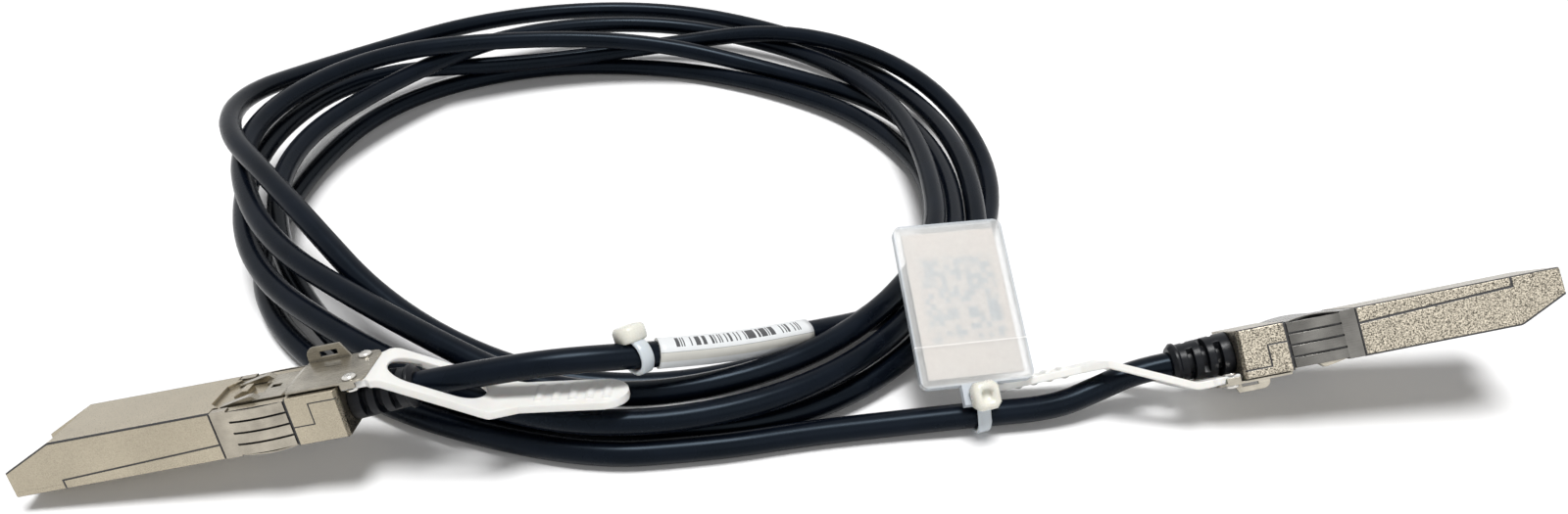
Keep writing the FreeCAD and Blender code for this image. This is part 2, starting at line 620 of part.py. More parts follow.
# ---------------------------------------------------------------- pull tab
def tab_outline(corner_x, end_x):
    """Plan view of the tab: neck, wide fork, and a tapered grip with a round end."""
    neck = NECK_WIDTH / 2
    wide = FORK_WIDTH / 2
    slim = GRIP_WIDTH / 2
    start = [(TAB_START, -neck), (SLIDE_REAR, -neck), (SLIDE_REAR + wide - neck, -wide),
             (corner_x, -wide), (corner_x + FORK_TAPER, -slim), (end_x - slim, -slim)]
    points = [Vector(x, y, 0) for x, y in start]
    back = [Vector(p.x, -p.y, 0) for p in reversed(points)]
    edges = []
    for first, last in zip(points, points[1:]):
        edges.append(Part.LineSegment(first, last).toShape())
    edges.append(Part.Arc(points[-1], Vector(end_x, 0, 0), back[0]).toShape())
    chain = back + points[:1]
    for first, last in zip(chain, chain[1:]):
        edges.append(Part.LineSegment(first, last).toShape())
    return Part.Face(Part.Wire(edges))


def tab_slot(bend_x):
    """Round-ended fork slot through which the cable rises."""
    r = SLOT_WIDTH / 2
    x0 = bend_x + 0.2
    length = SLOT_LENGTH
    middle = box(x0 + r, x0 + length - r, -r, r, -CUT_REACH, CUT_REACH)
    ends = [Part.makeCylinder(r, 2 * CUT_REACH, Vector(x, 0, -CUT_REACH))
            for x in (x0 + r, x0 + length - r)]
    return fuse_all([middle] + ends)


def pull_tab(bends):
    """Moulded pull tab: neck under the slide, bent fork round the cable, ribbed grip."""
    path = [Vector(TAB_START, 0, TAB_NECK_Z)] + [Vector(SHELL_LENGTH + x, 0, z) for x, z in bends]
    path[1].z = TAB_NECK_Z
    edges, _ = bent_path(path, TAB_BEND_RADIUS)
    half = TAB_THICKNESS / 2
    wide = FORK_WIDTH
    x = TAB_START
    section = Part.makePolygon([Vector(x, -wide, TAB_NECK_Z - half),
                                Vector(x, wide, TAB_NECK_Z - half),
                                Vector(x, wide, TAB_NECK_Z + half),
                                Vector(x, -wide, TAB_NECK_Z + half),
                                Vector(x, -wide, TAB_NECK_Z - half)])
    strip = Part.Wire(edges).makePipeShell([section], True, False)
    outline = tab_outline(path[2].x, path[3].x)
    outline.translate(Vector(0, 0, -CUT_REACH))
    plan = outline.extrude(Vector(0, 0, 2 * CUT_REACH))
    tab = strip.common(plan).cut(tab_slot(path[1].x))
    along = (path[3] - path[2]).normalize()
    ribs = []
    for index in range(GRIP_RIBS):
        back = GRIP_RIB_FROM_END + index * GRIP_RIB_PITCH
        centre = path[3] - along * back + Vector(0, -GRIP_RIB_SPAN / 2, 0)
        ribs.append(Part.makeCylinder(half + GRIP_RIB_RISE, GRIP_RIB_SPAN, centre,
                                      Vector(0, 1, 0)))
    tab = fuse_all([tab] + ribs)
    saddle = rod(SHELL_LENGTH, EXIT_X, SADDLE_DIAMETER)
    return tab.cut([saddle] + rivet_holes(TAB_NECK_Z - 2, TAB_NECK_Z + 2))


# ---------------------------------------------------------------- cable end in the plug
def relief_body():
    """Turned form of the strain relief: stem, neck, flange and tapered sleeve."""
    stem = RELIEF_STEM_DIAMETER / 2
    neck = RELIEF_NECK_DIAMETER / 2
    front = RELIEF_FRONT_DIAMETER / 2
    rear = RELIEF_REAR_DIAMETER / 2
    wall_x = SHELL_LENGTH - REAR_WALL - FIT_GAP
    flange_x = SHELL_LENGTH + FIT_GAP
    lip_x = EXIT_X - RELIEF_LIP_LENGTH
    lip = rear + RELIEF_LIP_RISE
    outline = [(STEM_START, 0), (STEM_START, stem), (wall_x, stem), (wall_x, neck),
               (flange_x, neck), (flange_x, front), (lip_x, rear),
               (lip_x + RELIEF_LIP_RISE, lip), (EXIT_X - 2 * RELIEF_LIP_RISE, lip),
               (EXIT_X, rear - RELIEF_LIP_RISE), (EXIT_X, 0)]
    face_points = [Vector(x, 0, CABLE_AXIS_Z + r) for x, r in outline]
    face = Part.Face(Part.makePolygon(face_points + face_points[:1]))
    return face.revolve(Vector(0, 0, CABLE_AXIS_Z), Vector(1, 0, 0), 360)


def strain_relief():
    """Moulded strain relief with slotted grooves between two spines."""
    body = relief_body()
    core = RELIEF_REAR_DIAMETER / 2 - RELIEF_GROOVE_DEPTH
    cuts = []
    for index in range(RELIEF_GROOVES):
        x = SHELL_LENGTH + RELIEF_GROOVE_FIRST + index * RELIEF_GROOVE_PITCH
        ring = rod(x, x + RELIEF_GROOVE_WIDTH, RELIEF_FRONT_DIAMETER + 2)
        ring = ring.cut(rod(x - 1, x + 2, 2 * core))
        spine = box(x - 1, x + 2, -RELIEF_FRONT_DIAMETER, RELIEF_FRONT_DIAMETER,
                    CABLE_AXIS_Z - RELIEF_SPINE / 2, CABLE_AXIS_Z + RELIEF_SPINE / 2)
        spine.rotate(Vector(0, 0, CABLE_AXIS_Z), Vector(1, 0, 0), 60 + 60 * (index % 2))
        cuts.append(ring.cut(spine))
    return body.cut(cuts)


def crimp_ferrule():
    """Crimped sleeve over the braid, with a front rim."""
    x0 = STEM_START - FERRULE_LENGTH
    sleeve = rod(x0, STEM_START, FERRULE_DIAMETER - 2 * FERRULE_RIM * 0.5)
    rim = rod(x0, x0 + FERRULE_RIM * 2, FERRULE_DIAMETER)
    return fuse_all([sleeve, rim]).cut(rod(x0 - 1, STEM_START + 1, FERRULE_BORE))


def twinax_pair(side):
    """One pair of insulated cores and its soldered wires; side +1 is above the card."""
    z = CABLE_AXIS_Z + side * CORE_STACK
    front = CARD_REAR + 1.2
    surface = CARD_TOP_Z if side > 0 else CARD_BOTTOM_Z
    wire_z = surface + side * CORE_WIRE / 2
    pieces = []
    for y in (-CORE_DIAMETER / 2, CORE_DIAMETER / 2):
        pieces.append(rod(front, STEM_START, CORE_DIAMETER, y, z))
        start = Vector(front + 0.2, y, z)
        turn = Vector(CARD_REAR - 0.2, y, wire_z)
        pieces.append(Part.makeCylinder(CORE_WIRE / 2, (turn - start).Length, start,
                                        turn - start))
        pieces.append(rod(CARD_REAR - WIRE_LAP, CARD_REAR - 0.2, CORE_WIRE, y, wire_z))
        pieces.append(Part.makeSphere(CORE_WIRE / 2, turn))
    web = box(front, STEM_START, -CORE_DIAMETER / 2, CORE_DIAMETER / 2,
              z - CORE_DIAMETER / 2, z + CORE_DIAMETER / 2)
    return fuse_all(pieces + [web])


def twinax_pairs():
    """Transmit and receive pairs from the cable to the card."""
    return Part.makeCompound([twinax_pair(1), twinax_pair(-1)])


# ---------------------------------------------------------------- ties, label, tag
def tie_head():
    """Block of a cable tie, standing on +z from z = 0, strap along y."""
    head = box(-TIE_HEAD_WIDTH / 2, TIE_HEAD_WIDTH / 2, -TIE_HEAD_LENGTH / 2,
               TIE_HEAD_LENGTH / 2, 0, TIE_HEAD_HEIGHT)
    upright = [e for e in head.Edges if abs(e.tangentAt(e.FirstParameter).z) > 0.99]
    head = head.makeFillet(0.8, upright)
    slot = box(-TIE_WIDTH / 2, TIE_WIDTH / 2, TIE_HEAD_LENGTH / 8, TIE_HEAD_LENGTH / 8
               + TIE_THICKNESS, TIE_HEAD_HEIGHT / 2, TIE_HEAD_HEIGHT + 1)
    return head.cut(slot)


def belt_face(low_radius, high_radius, reach):
    """Outline of a belt round two circles, in the y-z plane; the upper is reach above."""
    lean = math.asin((low_radius - high_radius) / reach)
    side, rise = math.cos(lean), math.sin(lean)
    low_right = Vector(0, low_radius * side, low_radius * rise)
    high_right = Vector(0, high_radius * side, reach + high_radius * rise)
    low_left = Vector(0, -low_right.y, low_right.z)
    high_left = Vector(0, -high_right.y, high_right.z)
    edges = [Part.LineSegment(low_right, high_right).toShape(),
             Part.Arc(high_right, Vector(0, 0, reach + high_radius), high_left).toShape(),
             Part.LineSegment(high_left, low_left).toShape(),
             Part.Arc(low_left, Vector(0, 0, -low_radius), low_right).toShape()]
    return Part.Face(Part.Wire(edges))


def arc_frame(arc, lean):
    """Frame at an arc's middle: x along the cable, leant round it."""
    middle = (arc.FirstParameter + arc.LastParameter) / 2
    way = arc.tangentAt(middle)
    heading = math.degrees(math.atan2(way.y, way.x))
    pitch = -math.degrees(math.asin(way.z))
    return Placement(arc.valueAt(middle), Rotation(heading, pitch, lean))


def label_tie(arc):
    """Tie on the cable beside the wrap label."""
    inner = CABLE_DIAMETER / 2 + TIE_SLACK
    outer = inner + TIE_THICKNESS
    ring = Part.makeCylinder(outer, TIE_WIDTH, Vector(-TIE_WIDTH / 2, 0, 0), Vector(1, 0, 0))
    hole = Part.makeCylinder(inner, TIE_WIDTH * 3, Vector(-TIE_WIDTH * 1.5, 0, 0),
                             Vector(1, 0, 0))
    head = tie_head()
    head.translate(Vector(0, 0, inner + TIE_THICKNESS / 2))
    stub = box(-TIE_WIDTH / 2, TIE_WIDTH / 2, TIE_HEAD_LENGTH / 8,
               TIE_HEAD_LENGTH / 8 + TIE_THICKNESS, inner + TIE_HEAD_HEIGHT / 2,
               inner + TIE_HEAD_HEIGHT + TIE_TAIL)
    tie = fuse_all([ring, head, stub]).cut(hole)
    tie.Placement = arc_frame(arc, LABEL_TIE_LEAN)
    return tie


def tag_tie(arc):
    """Tie round the cable and the tag's eye."""
    low = CABLE_DIAMETER / 2 + TIE_SLACK
    high = TAG_TIE_TOP_DIAMETER / 2
    outer = belt_face(low + TIE_THICKNESS, high + TIE_THICKNESS, TAG_TIE_REACH)
    inner = belt_face(low, high, TAG_TIE_REACH)
    strap = outer.cut(inner).extrude(Vector(TIE_WIDTH, 0, 0))
    strap.translate(Vector(-TIE_WIDTH / 2, 0, 0))
    head = tie_head()
    head.rotate(Vector(0, 0, 0), Vector(1, 0, 0), 90)
    head.translate(Vector(0, -high - TIE_THICKNESS / 2, TAG_TIE_REACH + TAG_TIE_HEAD_RISE))
    hollow = inner.extrude(Vector(TIE_HEAD_WIDTH * 2, 0, 0))
    hollow.translate(Vector(-TIE_HEAD_WIDTH, 0, 0))
    tie = fuse_all([strap, head]).cut(hollow)
    tie.Placement = arc_frame(arc, TAG_TIE_LEAN)
    return tie


def trimmed(arc, start_share, end_share):
    """Part of an arc, between two shares of its length."""
    first = arc.FirstParameter
    span = arc.LastParameter - first
    return arc.Curve.toShape(first + span * start_share, first + span * end_share)


def wrap_label(edges):
    """Printed label wrapped round the cable between the tie and the coil."""
    inner = CABLE_DIAMETER + 2 * LABEL_SLACK
    outer = inner + 2 * LABEL_SHEET
    return swept_disc(edges, outer).cut(swept_disc(edges, inner))


def tag_placement(arc):
    """Frame of the tag: x across, y up the tag, origin at the middle of its lower edge."""
    across = Vector(TAG_ACROSS).normalize()
    up = Vector(TAG_UP).normalize()
    bar = arc_frame(arc, TAG_TIE_LEAN).multVec(Vector(0, 0, TAG_TIE_REACH))
    foot = bar + up * (TAG_EYE_LENGTH - TAG_EYE_BAR / 2)
    return Placement(foot, Rotation(across, up, across.cross(up), "XYZ"))


def tag_case(arc):
    """Clear pocket with an eye at its foot."""
    half = TAG_WIDTH / 2
    deep = TAG_THICKNESS / 2
    case = box(-half, half, 0, TAG_HEIGHT, -deep, deep)
    upright = [e for e in case.Edges if abs(e.tangentAt(e.FirstParameter).z) > 0.99]
    case = case.makeFillet(TAG_CORNER, upright)
    m = TAG_INSERT_MARGIN - 2 * FIT_GAP
    gap = TAG_INSERT_THICKNESS / 2 + FIT_GAP
    pocket = box(-half + m, half - m, m, TAG_HEIGHT + 1, -gap, gap)
    eye = box(-TAG_EYE_WIDTH / 2, TAG_EYE_WIDTH / 2, -TAG_EYE_LENGTH, 0.5, -deep, deep)
    hole = box(-TAG_EYE_HOLE / 2, TAG_EYE_HOLE / 2, -TAG_EYE_LENGTH + TAG_EYE_BAR, -0.3,
               -deep - 1, deep + 1)
    case = fuse_all([case, eye]).cut([pocket, hole])
    case.Placement = tag_placement(arc)
    return case


def tag_insert(arc):
    """Card slipped into the pocket from its open end."""
    half = TAG_WIDTH / 2 - TAG_INSERT_MARGIN
    card = box(-half, half, TAG_INSERT_MARGIN, TAG_HEIGHT - TAG_INSERT_MARGIN,
               -TAG_INSERT_THICKNESS / 2, TAG_INSERT_THICKNESS / 2)
    card.Placement = tag_placement(arc)
    return card


# ---------------------------------------------------------------- coil
def coil_section(bearing, inner, outer, height):
    """Closed section of the coil in the vertical plane through its centre."""
    angle = math.radians(bearing)
    out = Vector(math.cos(angle), math.sin(angle), 0)

    def at(radius, z):
        return COIL_CENTRE + out * radius + Vector(0, 0, z)

    shoulder = height * COIL_SIDE_SHARE
    edges = [Part.LineSegment(at(inner, 0), at(outer, 0)).toShape(),
             Part.LineSegment(at(outer, 0), at(outer, shoulder)).toShape(),
             Part.Arc(at(outer, shoulder), at((inner + outer) / 2, height),
                      at(inner, shoulder)).toShape(),
             Part.LineSegment(at(inner, shoulder), at(inner, 0)).toShape()]
    return Part.Wire(edges)


def coil_solid():
    """Outer shape of the loose coil, as one closed ring."""
    following = COIL_SECTIONS[1:] + [(360,) + COIL_SECTIONS[0][1:]]
    sections = []
    for row, after in zip(COIL_SECTIONS, following):
        sections.append(coil_section(*row))
        sections.append(coil_section(*[(a + b) / 2 for a, b in zip(row, after)]))
    return Part.makeLoft(sections, True, True, True)


# ---------------------------------------------------------------- assembly
def plug_nodes(bends):
    """Every piece of one plug, in the plug's own frame."""
    base, cover = shell_pieces()
    return {"shell_base": base, "shell_cover": cover, "paddle_card": paddle_card(),
            "card_contacts": card_contacts(), "memory_chip": memory_chip(),
            "emi_collar": emi_collar(), "release_slide": release_slide(),
            "slide_spring": slide_spring(), "tab_rivets": tab_rivets(),
            "pull_tab": pull_tab(bends), "strain_relief": strain_relief(),
            "crimp_ferrule": crimp_ferrule(), "twinax_pairs": twinax_pairs()}


def exit_lead(placement, lead):
    """Where the cable leaves a plug's strain relief, and the end of its straight lead."""
    return [placement.multVec(Vector(x, 0, CABLE_AXIS_Z)) for x in (EXIT_X, EXIT_X + lead)]


def cable_nodes():
    """Both tails, the coil and what is fixed on the cable."""
    points_a = exit_lead(PLUG_A, EXIT_LEAD_A) + [Vector(*p) for p in TAIL_A_POINTS]
    points_b = [Vector(*p) for p in TAIL_B_POINTS] + exit_lead(PLUG_B, EXIT_LEAD_B)[::-1]
    tail_a, edges_a = cable_tube("cable_tail_a", points_a)
    tail_b, edges_b = cable_tube("cable_tail_b", points_b)
    label_edges = ([trimmed(edges_a[5], LABEL_START_SHARE, 1)] + edges_a[6:9]
                   + [trimmed(edges_a[9], 0, LABEL_END_SHARE)])
    tag_arc = edges_b[5]
    return {"cable_tail_a": tail_a, "cable_tail_b": tail_b,
            "cable_coil": coil_solid().cut([tail_a, tail_b]),
            "label_tie": label_tie(edges_a[5]), "wrap_label": wrap_label(label_edges),
            "tag_tie": tag_tie(tag_arc), "tag_case": tag_case(tag_arc),
            "tag_insert": tag_insert(tag_arc)}


def write(name, shape):
    """Write one node."""
    shape.exportStep(os.path.join("parts", name + ".step"))


def main():
    """Build the cable and write every node."""
    os.makedirs("parts", exist_ok=True)
    for end, placement, bends in (("a", PLUG_A, TAB_A_BENDS), ("b", PLUG_B, TAB_B_BENDS)):
        for name, shape in plug_nodes(bends).items():
            shape.Placement = placement.multiply(shape.Placement)
            write(name + "_" + end, shape)
    for name, shape in cable_nodes().items():
        write(name, shape)


main()
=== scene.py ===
"""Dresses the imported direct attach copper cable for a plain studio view.

Everything is in metres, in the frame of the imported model: the table is z = 0, plug a lies at
low x with its nose to the left, plug b at high x with its nose to the right, and the loose
coil lies behind them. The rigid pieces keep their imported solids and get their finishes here.
The cable, its wrap label, its two ties and the return springs, which shorten, are made here.
"""

import json
import logging
import math
from dataclasses import dataclass, replace
from enum import Enum

import bmesh
import bpy
from mathutils import Matrix, Vector

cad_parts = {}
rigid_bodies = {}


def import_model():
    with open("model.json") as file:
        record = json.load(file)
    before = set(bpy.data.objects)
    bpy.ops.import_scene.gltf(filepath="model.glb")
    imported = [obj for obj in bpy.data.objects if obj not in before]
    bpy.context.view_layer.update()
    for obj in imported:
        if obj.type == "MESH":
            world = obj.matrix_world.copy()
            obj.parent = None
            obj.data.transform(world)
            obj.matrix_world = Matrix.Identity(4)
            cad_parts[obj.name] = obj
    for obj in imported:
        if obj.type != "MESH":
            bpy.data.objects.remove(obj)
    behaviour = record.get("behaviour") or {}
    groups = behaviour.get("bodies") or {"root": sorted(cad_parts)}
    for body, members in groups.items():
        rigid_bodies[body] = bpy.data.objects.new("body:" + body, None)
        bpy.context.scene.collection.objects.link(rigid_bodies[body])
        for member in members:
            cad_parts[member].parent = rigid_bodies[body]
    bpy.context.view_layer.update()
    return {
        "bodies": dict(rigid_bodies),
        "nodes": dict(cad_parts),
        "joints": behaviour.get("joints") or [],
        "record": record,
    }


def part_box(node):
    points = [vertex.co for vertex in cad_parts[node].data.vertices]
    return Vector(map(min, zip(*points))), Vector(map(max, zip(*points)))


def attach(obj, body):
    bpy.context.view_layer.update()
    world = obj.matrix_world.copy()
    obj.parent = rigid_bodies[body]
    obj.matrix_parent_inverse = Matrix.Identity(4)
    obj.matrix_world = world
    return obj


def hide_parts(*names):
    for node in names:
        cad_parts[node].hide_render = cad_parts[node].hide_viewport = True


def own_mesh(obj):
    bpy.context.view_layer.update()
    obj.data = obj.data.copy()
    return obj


LOG = logging.getLogger("dress")
MM = 0.001
MIDDLE = (0.3, 0.7)  # range that holds most of a noise's values
SEAM_FADE = (0.62, 0.36)  # shares of a seam's width where its line starts and is full
SHADER_SAMPLES = 6  # of the crevice and soft edge nodes
TAG_WIDE = (19.0, 3.0, 0.0)  # run of the tag's width
TAG_TALL = (-1.5, 24.5, 15.5)  # run of its height

Point = tuple[float, float, float]
Colour = tuple[float, float, float]
Socket = bpy.types.NodeSocket


class End(Enum):
    """The two ends of the cable."""

    A = "a"
    B = "b"


class Space(Enum):
    """Where a texture's coordinates come from."""

    OBJECT = "Object"
    UV = "UV"


@dataclass(frozen=True)
class Groove:
    """A straight seam drawn on a side of a plug, in millimetres along and up the plug.

    Args:
        start: One end.
        end: The other end.
        width: Width of the line.
    """

    start: tuple[float, float]
    end: tuple[float, float]
    width: float


@dataclass(frozen=True)
class Shell:
    """Places on a plug's shell, in millimetres in the plug's frame.

    Args:
        height: Height of the shell.
        half: Half of its width.
        length: Its length.
        slope: Length of the nose's chamfer and height below it.
        collar: Front and rear of the spring collar.
        strip: Height of the cover's side strip at its front and rear.
        step: Place along the plug of the rear seam's step, and its two heights.
        skin: Depth of the sides that shows the seams.
        foot: Height below which the cover face shows the recess behind the collar.
        lap: Length of collar that hides each end of that recess.
        weight: Factor of the seams' width.
    """

    height: float = 8.5
    half: float = 6.75
    length: float = 54.9
    slope: tuple[float, float] = (8.2, 4.7)
    collar: tuple[float, float] = (34.5, 46.6)
    strip: tuple[float, float] = (1.7, 2.8)
    step: tuple[float, float, float] = (50.2, 3.4, 7.1)
    skin: float = 0.42
    foot: float = 0.6
    lap: float = 0.1
    weight: float = 1.0

    def seams(self) -> tuple[Groove, ...]:
        """Return the seams on the sides of the shell."""
        front, rear = self.collar
        nose, lip = self.slope
        step, low, high = self.step
        top = self.height - 0.1
        lines = (
            (0.0, lip - 0.1, nose, top, 0.30),
            (nose, top, front, top, 0.32),
            (nose, self.strip[0], front, self.strip[1], 0.32),
            (nose, 0.0, nose, self.strip[0], 0.30),
            (front - 0.05, 0.0, front - 0.05, self.height, 0.26),
            (rear + 0.1, 0.0, rear + 0.1, self.height, 0.28),
            (rear, low, step, low, 0.22),
            (step, low, step, high, 0.22),
            (step, high, self.length, high, 0.22),
            (0.0, 0.05, self.length, 0.05, 0.20),
        )
        return tuple(
            Groove((x0, z0), (x1, z1), width * self.weight) for x0, z0, x1, z1, width in lines
        )


@dataclass(frozen=True)
class PieceFrame:
    """A piece's own axes.

    Args:
        place: Its origin, in metres.
        along: Unit vector of its x axis.
        up: Unit vector of its z axis.
    """

    place: Vector
    along: Vector
    up: Vector

    @classmethod
    def plug(cls, record: dict, end: End) -> "PieceFrame":
        """Return a plug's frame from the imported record.

        Its x goes from the nose to the cable, its z from the cover to the latch face, and its
        origin is the foot of the nose.
        """
        mounts = {mount["name"]: mount for mount in record["mounts"]}
        nose = mounts[f"plug_{end.value}_nose"]
        up = -Vector(mounts[f"cover_face_{end.value}"]["axis"])
        foot = Vector(nose["pos_m"]) - up * Shell.height / 2 * MM
        return cls(foot, -Vector(nose["axis"]), up)

    @classmethod
    def tag(cls) -> "PieceFrame":
        """Return the tag's frame: x across it, y up it, with its origin at the card's middle."""
        low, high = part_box("tag_insert")
        across = Vector(TAG_WIDE).normalized()
        rise = Vector(TAG_TALL)
        rise = (rise - across * rise.dot(across)).normalized()
        return cls((low + high) / 2, across, across.cross(rise))

    def turn(self) -> Point:
        """Return the Euler angles of the frame's axes, for a texture mapping."""
        across = self.up.cross(self.along)
        columns = Matrix((self.along, across, self.up)).transposed()
        return tuple(columns.to_euler("XYZ"))


# ------------------------------------------------------------------ shading graphs
class Graph:
    """A node tree, with short calls for the nodes that the finishes use."""

    def __init__(self, tree: bpy.types.NodeTree) -> None:
        """Take the tree that gets the nodes."""
        self.tree = tree

    def add(self, kind: str, feeds: dict | None = None, **settings: object) -> bpy.types.Node:
        """Add a node and return it.

        Args:
            kind: Node type.
            feeds: What its inputs get, by name or by place.
            settings: Its properties, by name.
        """
        node = self.tree.nodes.new(kind)
        for name, value in settings.items():
            setattr(node, name, value)
        for name, value in (feeds or {}).items():
            self.feed(node.inputs[name], value)
        return node

    def feed(self, target: Socket, value: object) -> None:
        """Put a constant on an input, or link an output to it."""
        if isinstance(value, Socket):
            self.tree.links.new(value, target)
        else:
            target.default_value = value

    def where(
        self,
        space: Space = Space.OBJECT,
        turn: Point = (0.0, 0.0, 0.0),
        scale: Point = (1.0, 1.0, 1.0),
        place: Point = (0.0, 0.0, 0.0),
    ) -> Socket:
        """Return texture coordinates on axes with this turn, scale and origin."""
        feeds = {
            "Vector": self.add("ShaderNodeTexCoord").outputs[space.value],
            "Location": place,
            "Rotation": turn,
            "Scale": tuple(1.0 / s for s in scale),
        }
        return self.add("ShaderNodeMapping", feeds, vector_type="TEXTURE").outputs["Vector"]

    def local(self, frame: PieceFrame) -> Socket:
        """Return coordinates in a piece's own frame, in millimetres."""
        return self.where(turn=frame.turn(), scale=(1.0 / MM,) * 3, place=tuple(frame.place))

    def split(self, where: Socket) -> tuple[Socket, Socket, Socket]:
        """Return the three coordinates of a vector."""
        return tuple(self.add("ShaderNodeSeparateXYZ", {"Vector": where}).outputs)

    def noise(self, where: Socket, scale: float, detail: float, rough: float = 0.5) -> Socket:
        """Return fractal noise, from 0 to 1.

        Args:
            where: Texture coordinates.
            scale: Cells per unit of the coordinates.
            detail: Number of octaves.
            rough: Share that each octave keeps.
        """
        feeds = {"Vector": where, "Scale": scale, "Detail": detail, "Roughness": rough}
        return self.add("ShaderNodeTexNoise", feeds).outputs["Fac"]

    def calc(self, kind: str, *values: object) -> Socket:
        """Return a Math node's result, for numbers or outputs."""
        return self.add("ShaderNodeMath", dict(enumerate(values)), operation=kind).outputs[0]

    def times(self, first: object, second: object) -> Socket:
        """Return the product of two values."""
        return self.calc("MULTIPLY", first, second)

    def vector(self, kind: str, *vectors: object) -> Socket:
        """Return a Vector Math node's result."""
        node = self.add("ShaderNodeVectorMath", dict(enumerate(vectors)), operation=kind)
        return node.outputs["Value" if kind in ("LENGTH", "DOT_PRODUCT") else "Vector"]

    def scaled(self, vector: object, factor: Socket) -> Socket:
        """Return a vector times a number."""
        feeds = {0: vector, "Scale": factor}
        return self.add("ShaderNodeVectorMath", feeds, operation="SCALE").outputs["Vector"]

    def span(
        self, value: Socket, start: float, end: float, low: float = 0.0, high: float = 1.0
    ) -> Socket:
        """Return a value mapped from one range to another, clamped."""
        limits = {"From Min": start, "From Max": end, "To Min": low, "To Max": high}
        return self.add("ShaderNodeMapRange", {"Value": value, **limits}).outputs["Result"]

    def band(self, value: Socket, low: float, high: float, soft: float = 0.0) -> Socket:
        """Return 1 where a value lies between two limits, else 0, with soft shoulders."""
        if soft <= 0:
            over = self.calc("GREATER_THAN", value, low)
            return self.times(over, self.calc("LESS_THAN", value, high))
        up = self.span(value, low - soft, low + soft)
        return self.times(up, self.span(value, high + soft, high - soft))

    def blend(self, share: object, first: object, second: object) -> Socket:
        """Return two colours mixed: a share of 0 gives the first, 1 the second."""
        node = self.add("ShaderNodeMix", {"Factor": share}, data_type="RGBA")
        colours = [s for s in node.inputs if s.type == "RGBA"]
        for socket, value in zip(colours, (first, second)):
            self.feed(socket, (*value, 1.0) if isinstance(value, tuple) else value)
        return next(s for s in node.outputs if s.type == "RGBA")

    def relief(self, height: Socket, depth: float, strength: float, edge: float = 0.0) -> Socket:
        """Return a normal bumped by a height.

        Args:
            height: Height, as a share of the depth.
            depth: Depth of the relief, in metres.
            strength: Share of the relief that shows.
            edge: Radius of softened edges, in metres, or 0.
        """
        feeds = {"Height": height, "Distance": depth, "Strength": strength}
        if edge > 0:
            bevel = self.add("ShaderNodeBevel", {"Radius": edge}, samples=SHADER_SAMPLES)
            feeds["Normal"] = bevel.outputs["Normal"]
        return self.add("ShaderNodeBump", feeds).outputs["Normal"]

    def crevice(self, reach: float, start: float = 0.35, end: float = 0.85) -> Socket:
        """Return 1 deep in a corner or a slot and 0 on an open face.

        Args:
            reach: Distance over which neighbours count, in metres.
            start: Openness below which the result is 1.
            end: Openness above which the result is 0.
        """
        node = self.add("ShaderNodeAmbientOcclusion", {"Distance": reach}, samples=SHADER_SAMPLES)
        return self.span(node.outputs["AO"], end, start)

    def seen(self) -> Socket:
        """Return 1 for rays that the eye, a gloss or a glass sends, else 0."""
        rays = self.add("ShaderNodeLightPath").outputs
        total = rays["Is Camera Ray"]
        for kind in ("Glossy", "Transmission"):
            total = self.calc("MAXIMUM", total, rays[f"Is {kind} Ray"])
        return total

    def line(self, flat: Socket, groove: Groove) -> Socket:
        """Return 1 on a groove and 0 beside it, for coordinates with no y."""
        start = Vector((groove.start[0], 0.0, groove.start[1]))
        way = Vector((groove.end[0], 0.0, groove.end[1])) - start
        offset = self.vector("SUBTRACT", flat, tuple(start))
        share = self.vector("DOT_PRODUCT", offset, tuple(way / way.length_squared))
        foot = self.scaled(tuple(way), self.span(share, 0.0, 1.0))
        away = self.vector("LENGTH", self.vector("SUBTRACT", offset, foot))
        outer, core = SEAM_FADE
        return self.span(away, groove.width * outer, groove.width * core)

    def grooves(self, where: Socket, shell: Shell) -> Socket:
        """Return 1 on the seams of a shell's sides and in the recess behind its collar."""
        x, y, z = self.split(where)
        flat = self.vector("MULTIPLY", where, (1.0, 0.0, 1.0))
        lines = 0.0
        for groove in shell.seams():
            lines = self.calc("MAXIMUM", lines, self.line(flat, groove))
        side = self.calc("GREATER_THAN", self.calc("ABSOLUTE", y), shell.half - shell.skin)
        low = self.calc("LESS_THAN", z, shell.foot)
        recess = self.band(x, shell.collar[0] + shell.lap, shell.collar[1] - shell.lap)
        recess = self.times(recess, self.calc("MAXIMUM", side, low))
        return self.calc("MAXIMUM", self.times(lines, side), recess)


# ------------------------------------------------------------------ finishes
@dataclass(frozen=True)
class Finish:
    """A material on a principled shader, which each kind of finish draws.

    Args:
        name: Name of the finish.
    """

    name: str

    def draw(self, graph: Graph) -> dict[str, object]:
        """Return what the shader's inputs get, by name."""
        raise NotImplementedError

    def build(self) -> bpy.types.Material:
        """Return the material."""
        material = bpy.data.materials.new(self.name)
        material.use_nodes = True
        graph = Graph(material.node_tree)
        graph.tree.nodes.clear()
        shader = graph.add("ShaderNodeBsdfPrincipled")
        graph.add("ShaderNodeOutputMaterial", {"Surface": shader.outputs["BSDF"]})
        for name, value in self.draw(graph).items():
            if isinstance(value, tuple) and shader.inputs[name].type == "RGBA":
                value = (*value, 1.0)
            graph.feed(shader.inputs[name], value)
        return material


